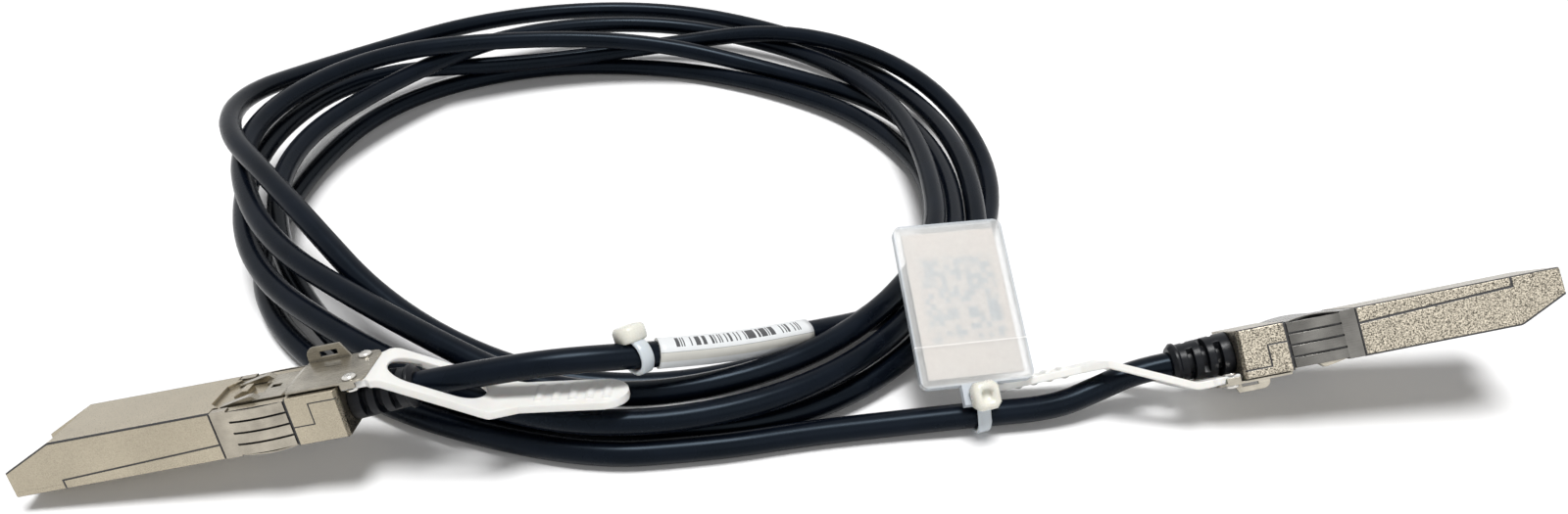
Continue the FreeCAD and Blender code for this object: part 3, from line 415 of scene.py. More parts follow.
@dataclass(frozen=True)
class PlatedShell(Finish):
    """Satin nickel plating on a die-cast shell, with a sandy speckle and dark seams.

    Args:
        frame: The plug's frame.
        tint: Mean colour of the plating.
        speck: Darkest and lightest speck, as shares of the tint.
        shine: Mean roughness.
        grain: Specks per metre.
        pits: Depth of the sandy relief, in metres.
        seam: Weight of the seams.
    """

    frame: PieceFrame
    tint: Colour
    speck: tuple[float, float] = (0.86, 1.08)
    shine: float = 0.30
    grain: float = 4600.0
    pits: float = 0.00003
    seam: float = 1.0

    def draw(self, graph: Graph) -> dict[str, object]:
        """Return the shader's inputs."""
        where = graph.where()
        cloud = graph.noise(where, 120.0, 4.0, 0.6)
        grain = graph.noise(where, self.grain, 2.0, 0.75)
        level = graph.span(grain, 0.36, 0.64, *self.speck)
        level = graph.times(level, graph.span(cloud, *MIDDLE, 0.92, 1.06))
        plating = graph.scaled(self.tint, level)
        dull = tuple(c * 0.22 for c in self.tint)
        plating = graph.blend(graph.crevice(0.0006), plating, dull)
        seam = graph.grooves(graph.local(self.frame), Shell(weight=self.seam))
        height = graph.calc("SUBTRACT", graph.times(grain, 0.5), seam)
        return {
            "Base Color": graph.blend(seam, plating, (0.018, 0.018, 0.020)),
            "Metallic": graph.span(seam, 0.0, 1.0, 1.0, 0.0),
            "Roughness": graph.span(grain, 0.3, 0.75, self.shine - 0.06, self.shine + 0.14),
            "Normal": graph.relief(height, self.pits, 0.6, 0.0002),
        }


@dataclass(frozen=True)
class StampedSheet(Finish):
    """Rolled sheet metal with fine draw lines and grime in its slots.

    Args:
        tint: Colour of the metal.
        shine: Mean roughness.
        turn: Turn of the draw lines, in radians.
    """

    tint: Colour
    shine: float
    turn: Point

    def draw(self, graph: Graph) -> dict[str, object]:
        """Return the shader's inputs."""
        drawn = graph.where(turn=self.turn, scale=(300.0, 9000.0, 9000.0))
        lines = graph.noise(drawn, 1.0, 3.0, 0.6)
        cloud = graph.noise(graph.where(), 260.0, 3.0)
        level = graph.span(cloud, 0.32, 0.68, 0.70, 1.08)
        metal = graph.scaled(self.tint, level)
        dull = tuple(c * 0.10 for c in self.tint)
        return {
            "Base Color": graph.blend(graph.crevice(0.0009, 0.30, 0.82), metal, dull),
            "Metallic": 1.0,
            "Roughness": graph.span(lines, *MIDDLE, self.shine - 0.05, self.shine + 0.12),
            "Normal": graph.relief(lines, 0.00002, 0.35, 0.00012),
        }


@dataclass(frozen=True)
class MouldedPlastic(Finish):
    """Moulded plastic with a fine spark-eroded grain.

    Args:
        colour: Main colour.
        deep: Colour in the cloudier places.
        shine: Mean roughness.
        glow: Share of light that goes into the plastic.
        grain: Depth of the grain, in metres.
        edge: Radius of the softened edges, in metres.
        gloss: Strength of the surface's reflection.
    """

    colour: Colour
    deep: Colour
    shine: float
    glow: float = 0.0
    grain: float = 0.00002
    edge: float = 0.0002
    gloss: float = 0.5

    def draw(self, graph: Graph) -> dict[str, object]:
        """Return the shader's inputs."""
        where = graph.where()
        cloud = graph.noise(where, 140.0, 3.0, 0.55)
        fine = graph.noise(where, 3800.0, 2.0, 0.6)
        return {
            "Base Color": graph.blend(graph.span(cloud, *MIDDLE), self.deep, self.colour),
            "Roughness": graph.span(fine, 0.25, 0.75, self.shine - 0.05, self.shine + 0.08),
            "Normal": graph.relief(fine, self.grain, 0.35, self.edge),
            "Specular IOR Level": self.gloss,
            "Subsurface Weight": self.glow,
            "Subsurface Radius": (1.0, 0.75, 0.5),
            "Subsurface Scale": 0.0012,
        }


@dataclass(frozen=True)
class JacketSkin(Finish):
    """Satin black extruded jacket, with rubbed dust.

    Args:
        colour: Colour of the jacket.
        bloom: Colour of the greyer, rubbed places.
    """

    colour: Colour = (0.0012, 0.0022, 0.0046)
    bloom: Colour = (0.0035, 0.0052, 0.0100)

    def draw(self, graph: Graph) -> dict[str, object]:
        """Return the shader's inputs."""
        where = graph.where()
        cloud = graph.noise(where, 90.0, 4.0, 0.6)
        fine = graph.noise(where, 6500.0, 2.0, 0.6)
        return {
            "Base Color": graph.blend(graph.span(cloud, 0.35, 0.75), self.colour, self.bloom),
            "Roughness": graph.span(cloud, *MIDDLE, 0.23, 0.32),
            "Normal": graph.relief(fine, 0.000012, 0.25),
            "Specular IOR Level": 0.12,
            "Specular Tint": (0.64, 0.82, 1.0),
        }


@dataclass(frozen=True)
class LabelPaper(Finish):
    """White wrap label with a row of plain bars, a fold and a darker underlap.

    Args:
        colour: Colour of the paper.
        shaded: Colour below the fold.
        ink: Colour of the bars.
        bars: Number of bar places along the label.
        blank: Share of them that stay blank.
        run: Where the bars start and end, as shares of the label's length.
        row: Where they start and end, as shares of the way round.
        fold: Where the fold's line starts and ends, as shares of the way round.
    """

    colour: Colour = (0.80, 0.82, 0.83)
    shaded: Colour = (0.66, 0.65, 0.60)
    ink: Colour = (0.012, 0.012, 0.016)
    bars: int = 130
    blank: float = 0.45
    run: tuple[float, float] = (0.09, 0.94)
    row: tuple[float, float] = (0.163, 0.285)
    fold: tuple[float, float] = (0.098, 0.106)

    def draw(self, graph: Graph) -> dict[str, object]:
        """Return the shader's inputs."""
        along, across, _ = graph.split(graph.where(Space.UV))
        place = graph.calc("FLOOR", graph.times(along, float(self.bars)))
        pick = graph.add("ShaderNodeTexWhiteNoise", {"W": place}, noise_dimensions="1D")
        bar = graph.calc("GREATER_THAN", pick.outputs["Value"], self.blank)
        bar = graph.times(bar, graph.band(along, *self.run))
        bar = graph.times(bar, graph.band(across, *self.row))
        fold = graph.times(graph.band(across, *self.fold), 0.55)
        cloud = graph.noise(graph.where(), 500.0, 3.0)
        paper = graph.blend(graph.band(across, -0.2, 0.100), self.colour, self.shaded)
        paper = graph.scaled(paper, graph.span(cloud, *MIDDLE, 0.95, 1.0))
        mark = graph.calc("MAXIMUM", graph.times(bar, 0.94), fold)
        return {
            "Base Color": graph.blend(mark, paper, self.ink),
            "Roughness": 0.36,
            "Normal": graph.relief(cloud, 0.00004, 0.3),
            "Coat Weight": 0.15,
        }


@dataclass(frozen=True)
class TagFilm(Finish):
    """Milky pouch film, thicker and bluer at its welded rim.

    Args:
        frame: The tag's frame.
        half: Half of the pouch's width and height, in millimetres.
        colour: Colour of the film.
        rim: Colour of the rim.
        cover: Share of the film that hides what is behind it.
        weld: Lower and upper edge of the weld line, in millimetres up the tag.
        bead: Colour of the weld line.
    """

    frame: PieceFrame
    half: tuple[float, float] = (10.2, 15.4)
    colour: Colour = (0.80, 0.80, 0.785)
    rim: Colour = (0.60, 0.65, 0.70)
    cover: float = 0.36
    weld: tuple[float, float] = (-8.0, -7.75)
    bead: Colour = (0.92, 0.90, 0.88)

    def draw(self, graph: Graph) -> dict[str, object]:
        """Return the shader's inputs."""
        x, y, _ = graph.split(graph.local(self.frame))
        cloud = graph.noise(graph.where(), 130.0, 4.0, 0.6)
        side = graph.calc("SUBTRACT", graph.calc("ABSOLUTE", x), self.half[0])
        end = graph.calc("SUBTRACT", graph.calc("ABSOLUTE", y), self.half[1])
        edge = graph.span(graph.calc("MAXIMUM", side, end), -0.55, -0.05)
        weld = graph.band(y, *self.weld, 0.05)
        film = graph.blend(edge, self.colour, self.rim)
        film = graph.blend(graph.times(weld, 0.7), film, self.bead)
        cover = graph.span(cloud, 0.2, 0.8, self.cover - 0.06, self.cover + 0.08)
        cover = graph.calc("ADD", cover, graph.times(edge, 0.35))
        return {
            "Base Color": film,
            "Roughness": graph.span(cloud, *MIDDLE, 0.30, 0.42),
            "Alpha": graph.calc("ADD", cover, graph.times(weld, 0.25)),
            "Normal": graph.relief(cloud, 0.00006, 0.12, 0.0002),
        }


@dataclass(frozen=True)
class TagCard(Finish):
    """Pale pink card with a field of plain blue-grey blocks.

    Args:
        frame: The tag's frame.
        colour: Colour of the card.
        block: Colour of the blocks.
        cell: Width and height of a block, in millimetres.
        field: Left, right, lower and upper edge of the blocks' field, in millimetres.
    """

    frame: PieceFrame
    colour: Colour = (0.85, 0.76, 0.69)
    block: Colour = (0.42, 0.49, 0.54)
    cell: tuple[float, float] = (0.95, 1.05)
    field: tuple[float, float, float, float] = (-6.6, 7.0, -7.2, 8.6)

    def draw(self, graph: Graph) -> dict[str, object]:
        """Return the shader's inputs."""
        where = graph.local(self.frame)
        x, y, _ = graph.split(where)
        place = graph.vector("FLOOR", graph.vector("DIVIDE", where, (*self.cell, 1000.0)))
        pick = graph.add("ShaderNodeTexWhiteNoise", {"Vector": place}, noise_dimensions="3D")
        cloud = graph.noise(graph.where(), 180.0, 2.0)
        left, right, low, high = self.field
        inside = graph.times(graph.band(x, left, right, 0.5), graph.band(y, low, high, 0.6))
        patch = graph.times(graph.span(cloud, 0.26, 0.42, 0.25, 1.0), inside)
        blocks = graph.span(pick.outputs["Value"], 0.42, 0.58, 0.15, 1.0)
        return {
            "Base Color": graph.blend(graph.times(patch, blocks), self.colour, self.block),
            "Roughness": 0.6,
        }


@dataclass(frozen=True)
class TableWhite(Finish):
    """White table that keeps the soft shadows.

    Args:
        lift: Strength of the light that it adds to them.
    """

    lift: float = 0.04

    def draw(self, graph: Graph) -> dict[str, object]:
        """Return the shader's inputs."""
        cloud = graph.noise(graph.where(), 6.0, 2.0)
        return {
            "Base Color": graph.blend(cloud, (0.93, 0.93, 0.935), (0.95, 0.95, 0.95)),
            "Roughness": 0.7,
            "Specular IOR Level": 0.2,
            "Emission Color": (1.0, 1.0, 1.0),
            "Emission Strength": graph.times(graph.seen(), self.lift),
        }


# ------------------------------------------------------------------ objects
def placed(name: str, data: bpy.types.ID) -> bpy.types.Object:
    """Return a new object of the scene with this data."""
    thing = bpy.data.objects.new(name, data)
    bpy.context.scene.collection.objects.link(thing)
    return thing


def finished(
    name: str, form: bmesh.types.BMesh, *finishes: bpy.types.Material
) -> bpy.types.Object:
    """Return a new object of the scene with this mesh, which is freed, and these materials."""
    mesh = bpy.data.meshes.new(name)
    form.to_mesh(mesh)
    form.free()
    for finish in finishes:
        mesh.materials.append(finish)
    return placed(name, mesh)


def bridge(form: bmesh.types.BMesh, rings: list[list[bmesh.types.BMVert]], closed: bool) -> None:
    """Join each ring of points to the next with faces, and the last to the first if closed."""
    others = rings[1:] + rings[:1] if closed else rings[1:]
    for ring, other in zip(rings, others):
        for side in range(len(ring)):
            nxt = (side + 1) % len(ring)
            form.faces.new((ring[side], ring[nxt], other[nxt], other[side]))


# ------------------------------------------------------------------ studio
@dataclass(frozen=True)
class Studio:
    """Pale floor, soft light and the camera.

    Args:
        eye: Place of the camera.
        tilt: Angle of the camera's view below the horizon, in degrees.
        lens: Focal length, in millimetres.
        sensor: Width of the sensor, in millimetres.
        level: Strength of the light from all round.
        key: Strength of the even light from overhead, in watts per square metre.
        spread: Angle that this light comes from, in radians.
        fill: Power of the lamp beside the camera, in watts.
        key_from: Where the even light comes from.
        fill_from: Where the lamp beside the camera stands.
        fill_size: Side of its face.
        aim: Point that both face.
        reach: Distance from the middle of the floor to its sides.
    """

    eye: Point = (-0.00407, -0.13966, 0.135)
    tilt: float = 35.0
    lens: float = 24.75
    sensor: float = 36.0
    level: float = 0.19
    key: float = 2.95
    spread: float = 0.38
    fill: float = 2.4
    key_from: Point = (0.0, -0.02, 1.8)
    fill_from: Point = (0.6, -1.1, 0.9)
    fill_size: float = 1.0
    aim: Point = (0.0, 0.05, 0.0)
    reach: float = 3.0

    def build(self) -> None:
        """Make the camera, the lamps, the world and the floor."""
        self.camera()
        self.world()
        self.lamp("key_lamp", "SUN", self.key_from, self.spread, self.key)
        self.lamp("fill_lamp", "AREA", self.fill_from, self.fill_size, self.fill)
        self.floor()

    def camera(self) -> None:
        """Make the camera and use it."""
        data = bpy.data.cameras.new("camera")
        data.lens = self.lens
        data.sensor_width = self.sensor
        data.clip_start = 0.01
        camera = placed("camera", data)
        camera.location = self.eye
        camera.rotation_euler = (math.radians(90.0 - self.tilt), 0.0, 0.0)
        bpy.context.scene.camera = camera

    def lamp(self, name: str, kind: str, place: Point, size: float, power: float) -> None:
        """Make a lamp that faces the object.

        Args:
            name: Name of the lamp.
            kind: "SUN" for an even light, "AREA" for a square lamp.
            place: Where it stands.
            size: Side of a square lamp's face, or angle of an even light.
            power: Its strength.
        """
        data = bpy.data.lights.new(name, kind)
        setattr(data, "angle" if kind == "SUN" else "size", size)
        data.energy = power
        lamp = placed(name, data)
        lamp.location = place
        way = Vector(self.aim) - Vector(place)
        lamp.rotation_euler = way.to_track_quat("-Z", "Y").to_euler()

    def world(self) -> None:
        """Light from all round, white where the eye sees it."""
        world = bpy.data.worlds.new("studio_world")
        bpy.context.scene.world = world
        world.use_nodes = True
        graph = Graph(world.node_tree)
        background = graph.tree.nodes["Background"].inputs
        background["Color"].default_value = (1.0, 1.0, 1.0, 1.0)
        graph.feed(background["Strength"], graph.span(graph.seen(), 0.0, 1.0, self.level, 1.0))

    def floor(self) -> None:
        """Make the floor."""
        form = bmesh.new()
        bmesh.ops.create_grid(form, x_segments=8, y_segments=8, size=self.reach)
        floor = finished("floor", form, TableWhite("table_white").build())
        LOG.info("floor")


# ------------------------------------------------------------------ cable
@dataclass(frozen=True)
class Lap:
    """One loose turn of the coil, in millimetres.

    Args:
        reach: Distance from the coil's centre, at even bearings from thirty degrees before +x.
        rise: Height above the table, at the same bearings.
    """

    reach: tuple[float, ...]
    rise: tuple[float, ...]


@dataclass(frozen=True)
class Cable:
    """The twinax cable: a short run from each plug, and five loose turns between them.

    Args:
        diameter: Outside diameter of the jacket, in metres.
        length: Real length from one strain relief to the other, in metres.
        centre: Centre of the coil on the table, in millimetres.
        first_bearing: Bearing of the coil's first point, in degrees.
        step: Bearing from one point of a turn to the next, in degrees.
        lead_a: Exit of plug a's strain relief and the end of the straight lead behind it.
        tail_a: Run from there to the coil's inner front.
        laps: The loose turns, from the inside out.
        tail_b: Run from the coil's outer front to plug b's lead.
        lead_b: End of plug b's straight lead and its strain relief's exit.
        steps: Steps of the curve from one point of the route to the next.
        facets: Resolution of its round section.
        order: Order of the curve.
    """

    diameter: float = 0.0045
    length: float = 2.57
    centre: tuple[float, float] = (-40.1, 78.3)
    first_bearing: float = -30.0
    step: float = 30.0
    lead_a: tuple[Point, ...] = ((-64.4505, -5.9223, 15.6139), (-53.8332, -4.9093, 17.3127))
    tail_a: tuple[Point, ...] = (
        (-41.1, -4.3, 19.3), (-27.1, -0.7, 17.6), (-13.1, 5.3, 14.2), (0.9, 14.3, 10.2),
        (12.9, 23.3, 6.0),
    )
    laps: tuple[Lap, ...] = (
        Lap((83, 87.5, 85.5, 77, 68.5, 71.5, 88, 86.5, 84.5, 79.5, 88.5, 90),
            (2.5, 4, 11.5, 14.5, 8, 5.5, 11.5, 13.5, 10.5, 10, 7.5, 8.5)),
        Lap((82, 75, 74.5, 67.5, 64.5, 68.5, 81.5, 88.5, 80.5, 73.5, 81.5, 84.5),
            (8.5, 7.5, 5, 5, 11, 14.5, 18.5, 19, 16.5, 14, 7.5, 10.5)),
        Lap((78.5, 69, 71.5, 77.5, 80.5, 78.5, 76, 80.5, 78, 80, 82.5, 91),
            (11.5, 11.5, 10, 8, 10.5, 13, 12, 12, 8.5, 2.5, 2.5, 2.5)),
        Lap((87.5, 79.5, 80.5, 86, 91.5, 93, 91.5, 94.5, 72, 70.5, 74, 75),
            (6.5, 9.5, 7, 8, 10.5, 12.5, 14.5, 23.5, 21.5, 10, 4, 2.5)),
        Lap((75, 72.5, 67, 63, 67, 76.5, 81, 80, 84.5, 84.5, 88),
            (3, 3.5, 3.5, 3, 2.5, 2.5, 4, 2.5, 2.5, 2.5, 2.5)),
    )
    tail_b: tuple[Point, ...] = (
        (-16.1, -7.3, 2.4), (-0.1, -3.7, 2.3), (14.9, -1.5, 2.5), (29.9, -0.1, 3.4),
        (43.9, 1.6, 3.5), (52.2, 4.5, 5.5),
    )
    lead_b: tuple[Point, ...] = ((58.8071, 6.5800, 7.6066), (64.6752, 7.0295, 8.7740))
    steps: int = 14
    facets: int = 5
    order: int = 3

    def turns(self) -> list[Vector]:
        """Return the coil's points, lap after lap, in millimetres."""
        points = []
        bearing = self.first_bearing
        for lap in self.laps:
            for reach, rise in zip(lap.reach, lap.rise):
                angle = math.radians(bearing)
                x = self.centre[0] + reach * math.cos(angle)
                y = self.centre[1] + reach * math.sin(angle)
                points.append(Vector((x, y, rise)))
                bearing += self.step
        return points

    def route(self) -> list[Vector]:
        """Return the whole cable's points from plug a to plug b, in metres."""
        front = [Vector(point) for point in self.lead_a + self.tail_a]
        back = [Vector(point) for point in self.tail_b + self.lead_b]
        return [point * MM for point in front + self.turns() + back]

    def build(self, finish: bpy.types.Material) -> bpy.types.Object:
        """Make the cable's curve, with the jacket's material."""
        points = self.route()
        curve = bpy.data.curves.new("cable", "CURVE")
        curve.dimensions = "3D"
        curve.resolution_u = self.steps
        curve.bevel_depth = self.diameter / 2
        curve.bevel_resolution = self.facets
        curve.use_fill_caps = True
        spline = curve.splines.new("NURBS")
        spline.points.add(len(points) - 1)
        for place, point in zip(spline.points, points):
            place.co = (*point, 1.0)
        spline.order_u = self.order
        spline.use_endpoint_u = True
        curve.materials.append(finish)
        cable = placed("cable", curve)
        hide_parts("cable_tail_a", "cable_coil", "cable_tail_b")
        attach(cable, "cable_assembly")
        LOG.info("cable: %d points", len(points))
        return cable

    @staticmethod
    def centreline(cable: bpy.types.Object) -> list[Vector]:
        """Return points of the cable's own line, close together."""
        bare = cable.copy()
        bare.data = cable.data.copy()
        bare.data.bevel_depth = 0.0
        mesh = bpy.data.meshes.new_from_object(bare)
        points = [vertex.co.copy() for vertex in mesh.vertices]
        bpy.data.objects.remove(bare)
        bpy.data.meshes.remove(mesh)
        return points


# ------------------------------------------------------------------ wrap label
@dataclass(frozen=True)
class WrapLabel:
    """Label folded round the cable, with flattened sides.

    Args:
        node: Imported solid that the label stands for.
        height: Height across its flat faces.
        width: Thickness through the cable.
        bow: Power that squares the oval, 2 for a true one.
        sides: Facets round the label.
        lift: Distance of its middle above the cable's.
        starts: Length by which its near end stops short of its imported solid's box.
        trim: Length by which its far end does.
        part: It lies in the first of this many parts of the cable.
    """

    node: str = "wrap_label"
    height: float = 0.0050
    width: float = 0.0050
    bow: float = 2.4
    sides: int = 40
    lift: float = 0.0001
    starts: float = 0.00075
    trim: float = 0.0022
    part: int = 8

    def section(self, share: float) -> tuple[float, float]:
        """Return a point of the section: across and up, for a share of the way round."""
        angle = math.tau * share
        cos, sin = math.cos(angle), math.sin(angle)
        power = 2.0 / self.bow
        across = math.copysign(abs(cos) ** power, cos) * self.width / 2
        up = math.copysign(abs(sin) ** power, sin) * self.height / 2
        return across, up + self.lift

    def build(self, line: list[Vector], finish: bpy.types.Material) -> bpy.types.Object:
        """Make the label along the cable's own line."""
        low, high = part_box(self.node)
        front = line[: len(line) // self.part]
        run = [p for p in front if low.x + self.starts <= p.x <= high.x - self.trim]
        form = bmesh.new()
        uv = form.loops.layers.uv.new("UVMap")
        rings = []
        for index, point in enumerate(run):
            before, after = run[max(index - 1, 0)], run[min(index + 1, len(run) - 1)]
            way = (after - before).normalized()
            across = way.cross(Vector((0, 0, 1))).normalized()
            up = across.cross(way)
            ring = []
            for side in range(self.sides):
                out, rise = self.section(side / self.sides)
                ring.append(form.verts.new(point + across * out + up * rise))
            rings.append(ring)
        for index, (ring, following) in enumerate(zip(rings, rings[1:])):
            for side in range(self.sides):
                nxt = (side + 1) % self.sides
                face = form.faces.new((ring[side], following[side], following[nxt], ring[nxt]))
                face.smooth = True
                shares = (side, side, side + 1, side + 1)
                steps = (index, index + 1, index + 1, index)
                for loop, share, step in zip(face.loops, shares, steps):
                    loop[uv].uv = (step / (len(rings) - 1), share / self.sides)
        form.faces.new(rings[0])
        form.faces.new(list(reversed(rings[-1])))
        bmesh.ops.recalc_face_normals(form, faces=form.faces)
        label = finished("label_band", form, finish)
        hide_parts(self.node)
        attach(label, "cable_assembly")
        LOG.info("wrap label: %d rings", len(rings))
        return label


# ------------------------------------------------------------------ ties
@dataclass(frozen=True)
class TieSpot:
    """Where a tie sits and how it lies, in millimetres and degrees.

    Args:
        node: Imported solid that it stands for.
        yaw: Turn of its band about the vertical, away from square to the cable.
        reach: Distance of a second round thing above the cable that the band also holds.
        top: Radius of the band there.
        head_at: Place of the head's foot: towards the front and up, from the cable's middle.
        head_aim: Angle of the head above the horizon towards the front, in degrees.
        shift: Move along the cable.
    """

    node: str
    yaw: float
    reach: float
    top: float
    head_at: tuple[float, float]
    head_aim: float
    shift: float = 0.0


@dataclass
class Ties:
    """Nylon ties: a band with rounded edges and a block head with its window.

    Args:
        line: Points of the cable's own line.
        band: Width and thickness of the band, in millimetres.
        head: Width, height along the band and depth of the head, in millimetres.
        slack: Inner radius of the band round the cable, in millimetres.
        chamfer: Share of the band's thickness that its edges lose.
        corner: Cut at the head's corners, in millimetres.
        window: Depth of the window in the head's face, in millimetres.
        steps: Points round the band.
        spots: The two ties.
    """

    line: list[Vector]
    band: tuple[float, float] = (2.5, 0.8)
    head: tuple[float, float, float] = (4.7, 4.9, 2.8)
    slack: float = 2.33
    chamfer: float = 0.35
    corner: float = 0.95
    window: float = 1.1
    steps: int = 48
    spots: tuple[TieSpot, ...] = (
        TieSpot("label_tie", 24.0, 0.0, 2.33, (-1.75, 1.75), 128.0, -2.3),
        TieSpot("tag_tie", 11.0, 4.3, 0.95, (0.9, 5.3), 40.0, -0.3),
    )

    def build(self) -> list[bpy.types.Object]:
        """Return the ties."""
        nylon = {"glow": 0.2, "grain": 0.000004}
        band = MouldedPlastic("tie_band", (0.62, 0.67, 0.70), (0.57, 0.62, 0.66), 0.22, **nylon)
        head = MouldedPlastic("tie_head", (0.80, 0.79, 0.71), (0.76, 0.75, 0.67), 0.26, **nylon)
        finishes = (band.build(), head.build())
        return [self.tie(spot, *finishes) for spot in self.spots]

    def frame(self, spot: TieSpot) -> Matrix:
        """Return a tie's frame: x along the cable, y away from the front, z up."""
        low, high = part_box(spot.node)
        middle = (low + high) / 2
        inner = range(1, len(self.line) - 1)
        index = min(inner, key=lambda i: (self.line[i].xy - middle.xy).length)
        way = (self.line[index + 1] - self.line[index - 1]).normalized()
        across = Vector((0.0, 0.0, 1.0)).cross(way).normalized()
        up = way.cross(across)
        place = self.line[index] + way * spot.shift * MM
        columns = Matrix((way, across, up)).transposed().to_4x4()
        return Matrix.Translation(place) @ columns

    def outline(self, spot: TieSpot, grow: float) -> list[Vector]:
        """Return the band's path at some depth in it: a belt round one or two circles."""
        radius, top = self.slack + grow, spot.top + grow
        stretch = 1.0 / math.cos(math.radians(spot.yaw))
        lean = math.asin((radius - top) / spot.reach) if spot.reach else 0.0
        points = []
        for step in range(self.steps):
            angle = math.tau * step / self.steps
            upper = spot.reach and lean <= angle <= math.pi - lean
            size, rise = (top, spot.reach) if upper else (radius, 0.0)
            out = math.cos(angle) * size * stretch
            points.append(Vector((0.0, out, math.sin(angle) * size + rise)))
        return points

    def strap(self, form: bmesh.types.BMesh, spot: TieSpot) -> None:
        """Add the band."""
        width, thick = self.band
        soft = thick * self.chamfer
        # Corners of the band's section: side, inset, inner or outer path, and lift.
        shape = ((-0.5, 0, 0, soft), (-0.5, 0, 1, -soft), (-0.5, soft, 1, 0), (0.5, -soft, 1, 0),
                 (0.5, 0, 1, -soft), (0.5, 0, 0, soft), (0.5, -soft, 0, 0), (-0.5, soft, 0, 0))
        rings = []
        for low, high in zip(self.outline(spot, 0.0), self.outline(spot, thick)):
            out = (high - low).normalized()
            ring = []
            for side, inset, base, lift in shape:
                point = (high if base else low) + out * lift
                ring.append(form.verts.new(point + Vector((side * width + inset, 0.0, 0.0))))
            rings.append(ring)
        bridge(form, rings, closed=True)

    def block(self, form: bmesh.types.BMesh, spot: TieSpot) -> None:
        """Add the head, with chamfered corners and a window in its face."""
        wide, tall, deep = self.head[0] / 2, self.head[1] / 2, self.head[2]
        cut = self.corner
        corners = [
            (-wide + cut, -tall), (wide - cut, -tall), (wide, -tall + cut), (wide, tall - cut),
            (wide - cut, tall), (-wide + cut, tall), (-wide, tall - cut), (-wide, -tall + cut),
        ]
        # Depth and size: the foot, the block, its softened face, and the window's rim and floor.
        layers = ((0.0, 0.90), (0.35, 1.0), (deep - 0.6, 1.0), (deep, 0.84),
                  (deep, 0.50), (deep - self.window, 0.42))
        aim = math.radians(spot.head_aim)
        out = Vector((0.0, -math.cos(aim), math.sin(aim)))
        rise = Vector((0.0, math.sin(aim), math.cos(aim)))
        foot = Vector((0.0, -spot.head_at[0], spot.head_at[1]))
        rings = []
        for depth, size in layers:
            ring = []
            for x, y in corners:
                point = foot + out * depth + rise * (y * size) + Vector((x * size, 0.0, 0.0))
                ring.append(form.verts.new(point))
            rings.append(ring)
        bridge(form, rings, closed=False)
        form.faces.new(list(reversed(rings[0])))
        form.faces.new(rings[-1])

    def tie(self, spot: TieSpot, *finishes: bpy.types.Material) -> bpy.types.Object:
        """Make one tie, with the materials of its band and its head."""
        form = bmesh.new()
        self.strap(form, spot)
        banded = len(form.faces)
        self.block(form, spot)
        for face in list(form.faces)[banded:]:
            face.material_index = 1
        bmesh.ops.recalc_face_normals(form, faces=form.faces)
        turn = Matrix.Rotation(math.radians(spot.yaw), 4, "Z")
        placing = self.frame(spot) @ turn @ Matrix.Scale(MM, 4)
        bmesh.ops.transform(form, matrix=placing, verts=form.verts)
        for face in form.faces:
            face.smooth = True
        tie = finished(f"{spot.node}_band", form, *finishes)
        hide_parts(spot.node)
        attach(tie, "cable_assembly")
        LOG.info("tie: %s", spot.node)
        return tie


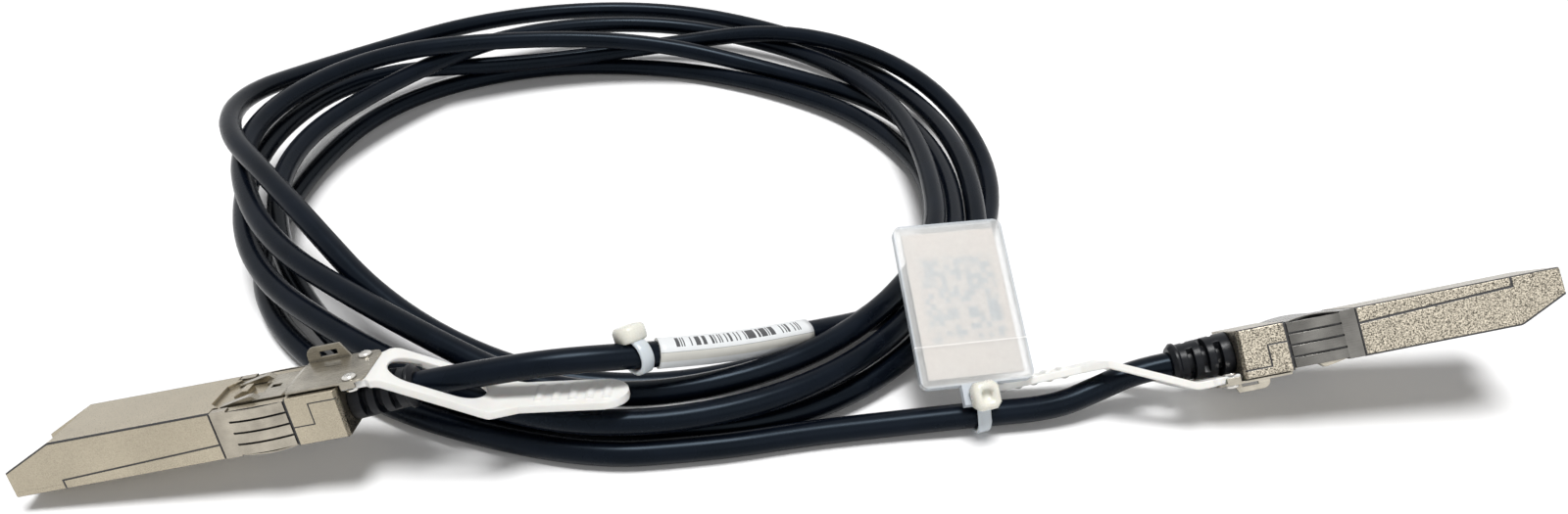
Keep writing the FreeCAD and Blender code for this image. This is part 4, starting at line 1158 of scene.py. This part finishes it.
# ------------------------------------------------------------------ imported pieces
@dataclass
class Dresser:
    """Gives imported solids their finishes.

    Args:
        nodes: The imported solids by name.
    """

    nodes: dict[str, bpy.types.Object]

    def dress(self, name: str, finish: Finish) -> None:
        """Put a finish on one solid."""
        material = finish.build()
        for slot in self.nodes[name].material_slots:
            slot.material = material

    def plug(self, end: End, frame: PieceFrame) -> None:
        """Dress every piece of one plug, which has this frame."""
        tag = end.value
        turn = frame.turn()
        platings = {
            End.A: {"tint": (0.44, 0.39, 0.30)},
            End.B: {"tint": (0.26, 0.235, 0.19), "speck": (0.12, 2.5), "shine": 0.34,
                    "grain": 3900.0, "pits": 0.00009, "seam": 1.35},
        }
        shell = PlatedShell(f"plated_shell_{tag}", frame, **platings[end])
        collars = {End.A: (0.45, 0.41, 0.34), End.B: (0.15, 0.145, 0.135)}
        metals = {
            "emi_collar": ("spring_sheet", collars[end], 0.22),
            "release_slide": ("slide_sheet", (0.40, 0.37, 0.31), 0.24),
            "slide_spring": ("spring_wire", (0.5, 0.5, 0.5), 0.2),
            "tab_rivets": ("rivet_steel", (0.74, 0.72, 0.68), 0.12),
            "crimp_ferrule": ("ferrule_metal", (0.6, 0.5, 0.34), 0.3),
            "card_contacts": ("contact_gold", (0.75, 0.50, 0.13), 0.2),
        }
        plastics = {
            "paddle_card": ("card_mask", (0.20, 0.03, 0.02), (0.12, 0.02, 0.015), 0.3),
            "memory_chip": ("chip_black", (0.03, 0.03, 0.03), (0.02, 0.02, 0.02), 0.5),
            "twinax_pairs": ("core_white", (0.85, 0.85, 0.82), (0.78, 0.78, 0.74), 0.4),
            "strain_relief": ("relief_black", (0.004, 0.005, 0.008), (0.002, 0.003, 0.005), 0.32),
            "pull_tab": ("tab_white", (0.88, 0.875, 0.85), (0.84, 0.83, 0.79), 0.34),
        }
        more = {
            "strain_relief": {"edge": 0.0003, "gloss": 0.2},
            "pull_tab": {"glow": 0.2, "grain": 0.000008, "edge": 0.0004},
        }
        finishes = {
            "shell_base": shell,
            "shell_cover": replace(shell, name=f"plated_cover_{tag}", shine=shell.shine - 0.04),
        }
        for piece, (name, tint, shine) in metals.items():
            finishes[piece] = StampedSheet(f"{name}_{tag}", tint, shine, turn)
        for piece, (name, *rest) in plastics.items():
            finishes[piece] = MouldedPlastic(f"{name}_{tag}", *rest, **more.get(piece, {}))
        for piece, finish in finishes.items():
            self.dress(f"{piece}_{tag}", finish)
        self.spring(tag)
        LOG.info("plug %s: %d pieces", tag, len(finishes))

    def spring(self, tag: str) -> None:
        """Stand a copy in for a plug's return spring, which shortens as its slide moves."""
        node = self.nodes[f"slide_spring_{tag}"]
        coil = placed(f"return_spring_{tag}", node.data.copy())
        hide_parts(f"slide_spring_{tag}")
        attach(coil, "cable_assembly")
        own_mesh(coil)

    def tag(self) -> None:
        """Dress the pouch and its card."""
        frame = PieceFrame.tag()
        self.dress("tag_case", TagFilm("tag_clear", frame))
        self.dress("tag_insert", TagCard("tag_card", frame))
        LOG.info("tag")


def main() -> None:
    """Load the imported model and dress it, piece by piece."""
    logging.basicConfig(level=logging.INFO, format="%(name)s: %(message)s")
    bpy.ops.wm.read_factory_settings(use_empty=True)
    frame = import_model()
    bpy.context.scene.view_settings.view_transform = "Standard"
    Studio().build()
    cable = Cable()
    jacket = JacketSkin("jacket_black").build()
    curve = cable.build(jacket)
    line = Cable.centreline(curve)
    label = WrapLabel().build(line, LabelPaper("label_white").build())
    dresser = Dresser(frame["nodes"])
    for end in End:
        dresser.plug(end, PieceFrame.plug(frame["record"], end))
    dresser.tag()
    ties = Ties(line).build()


if __name__ == "__main__":
    main()
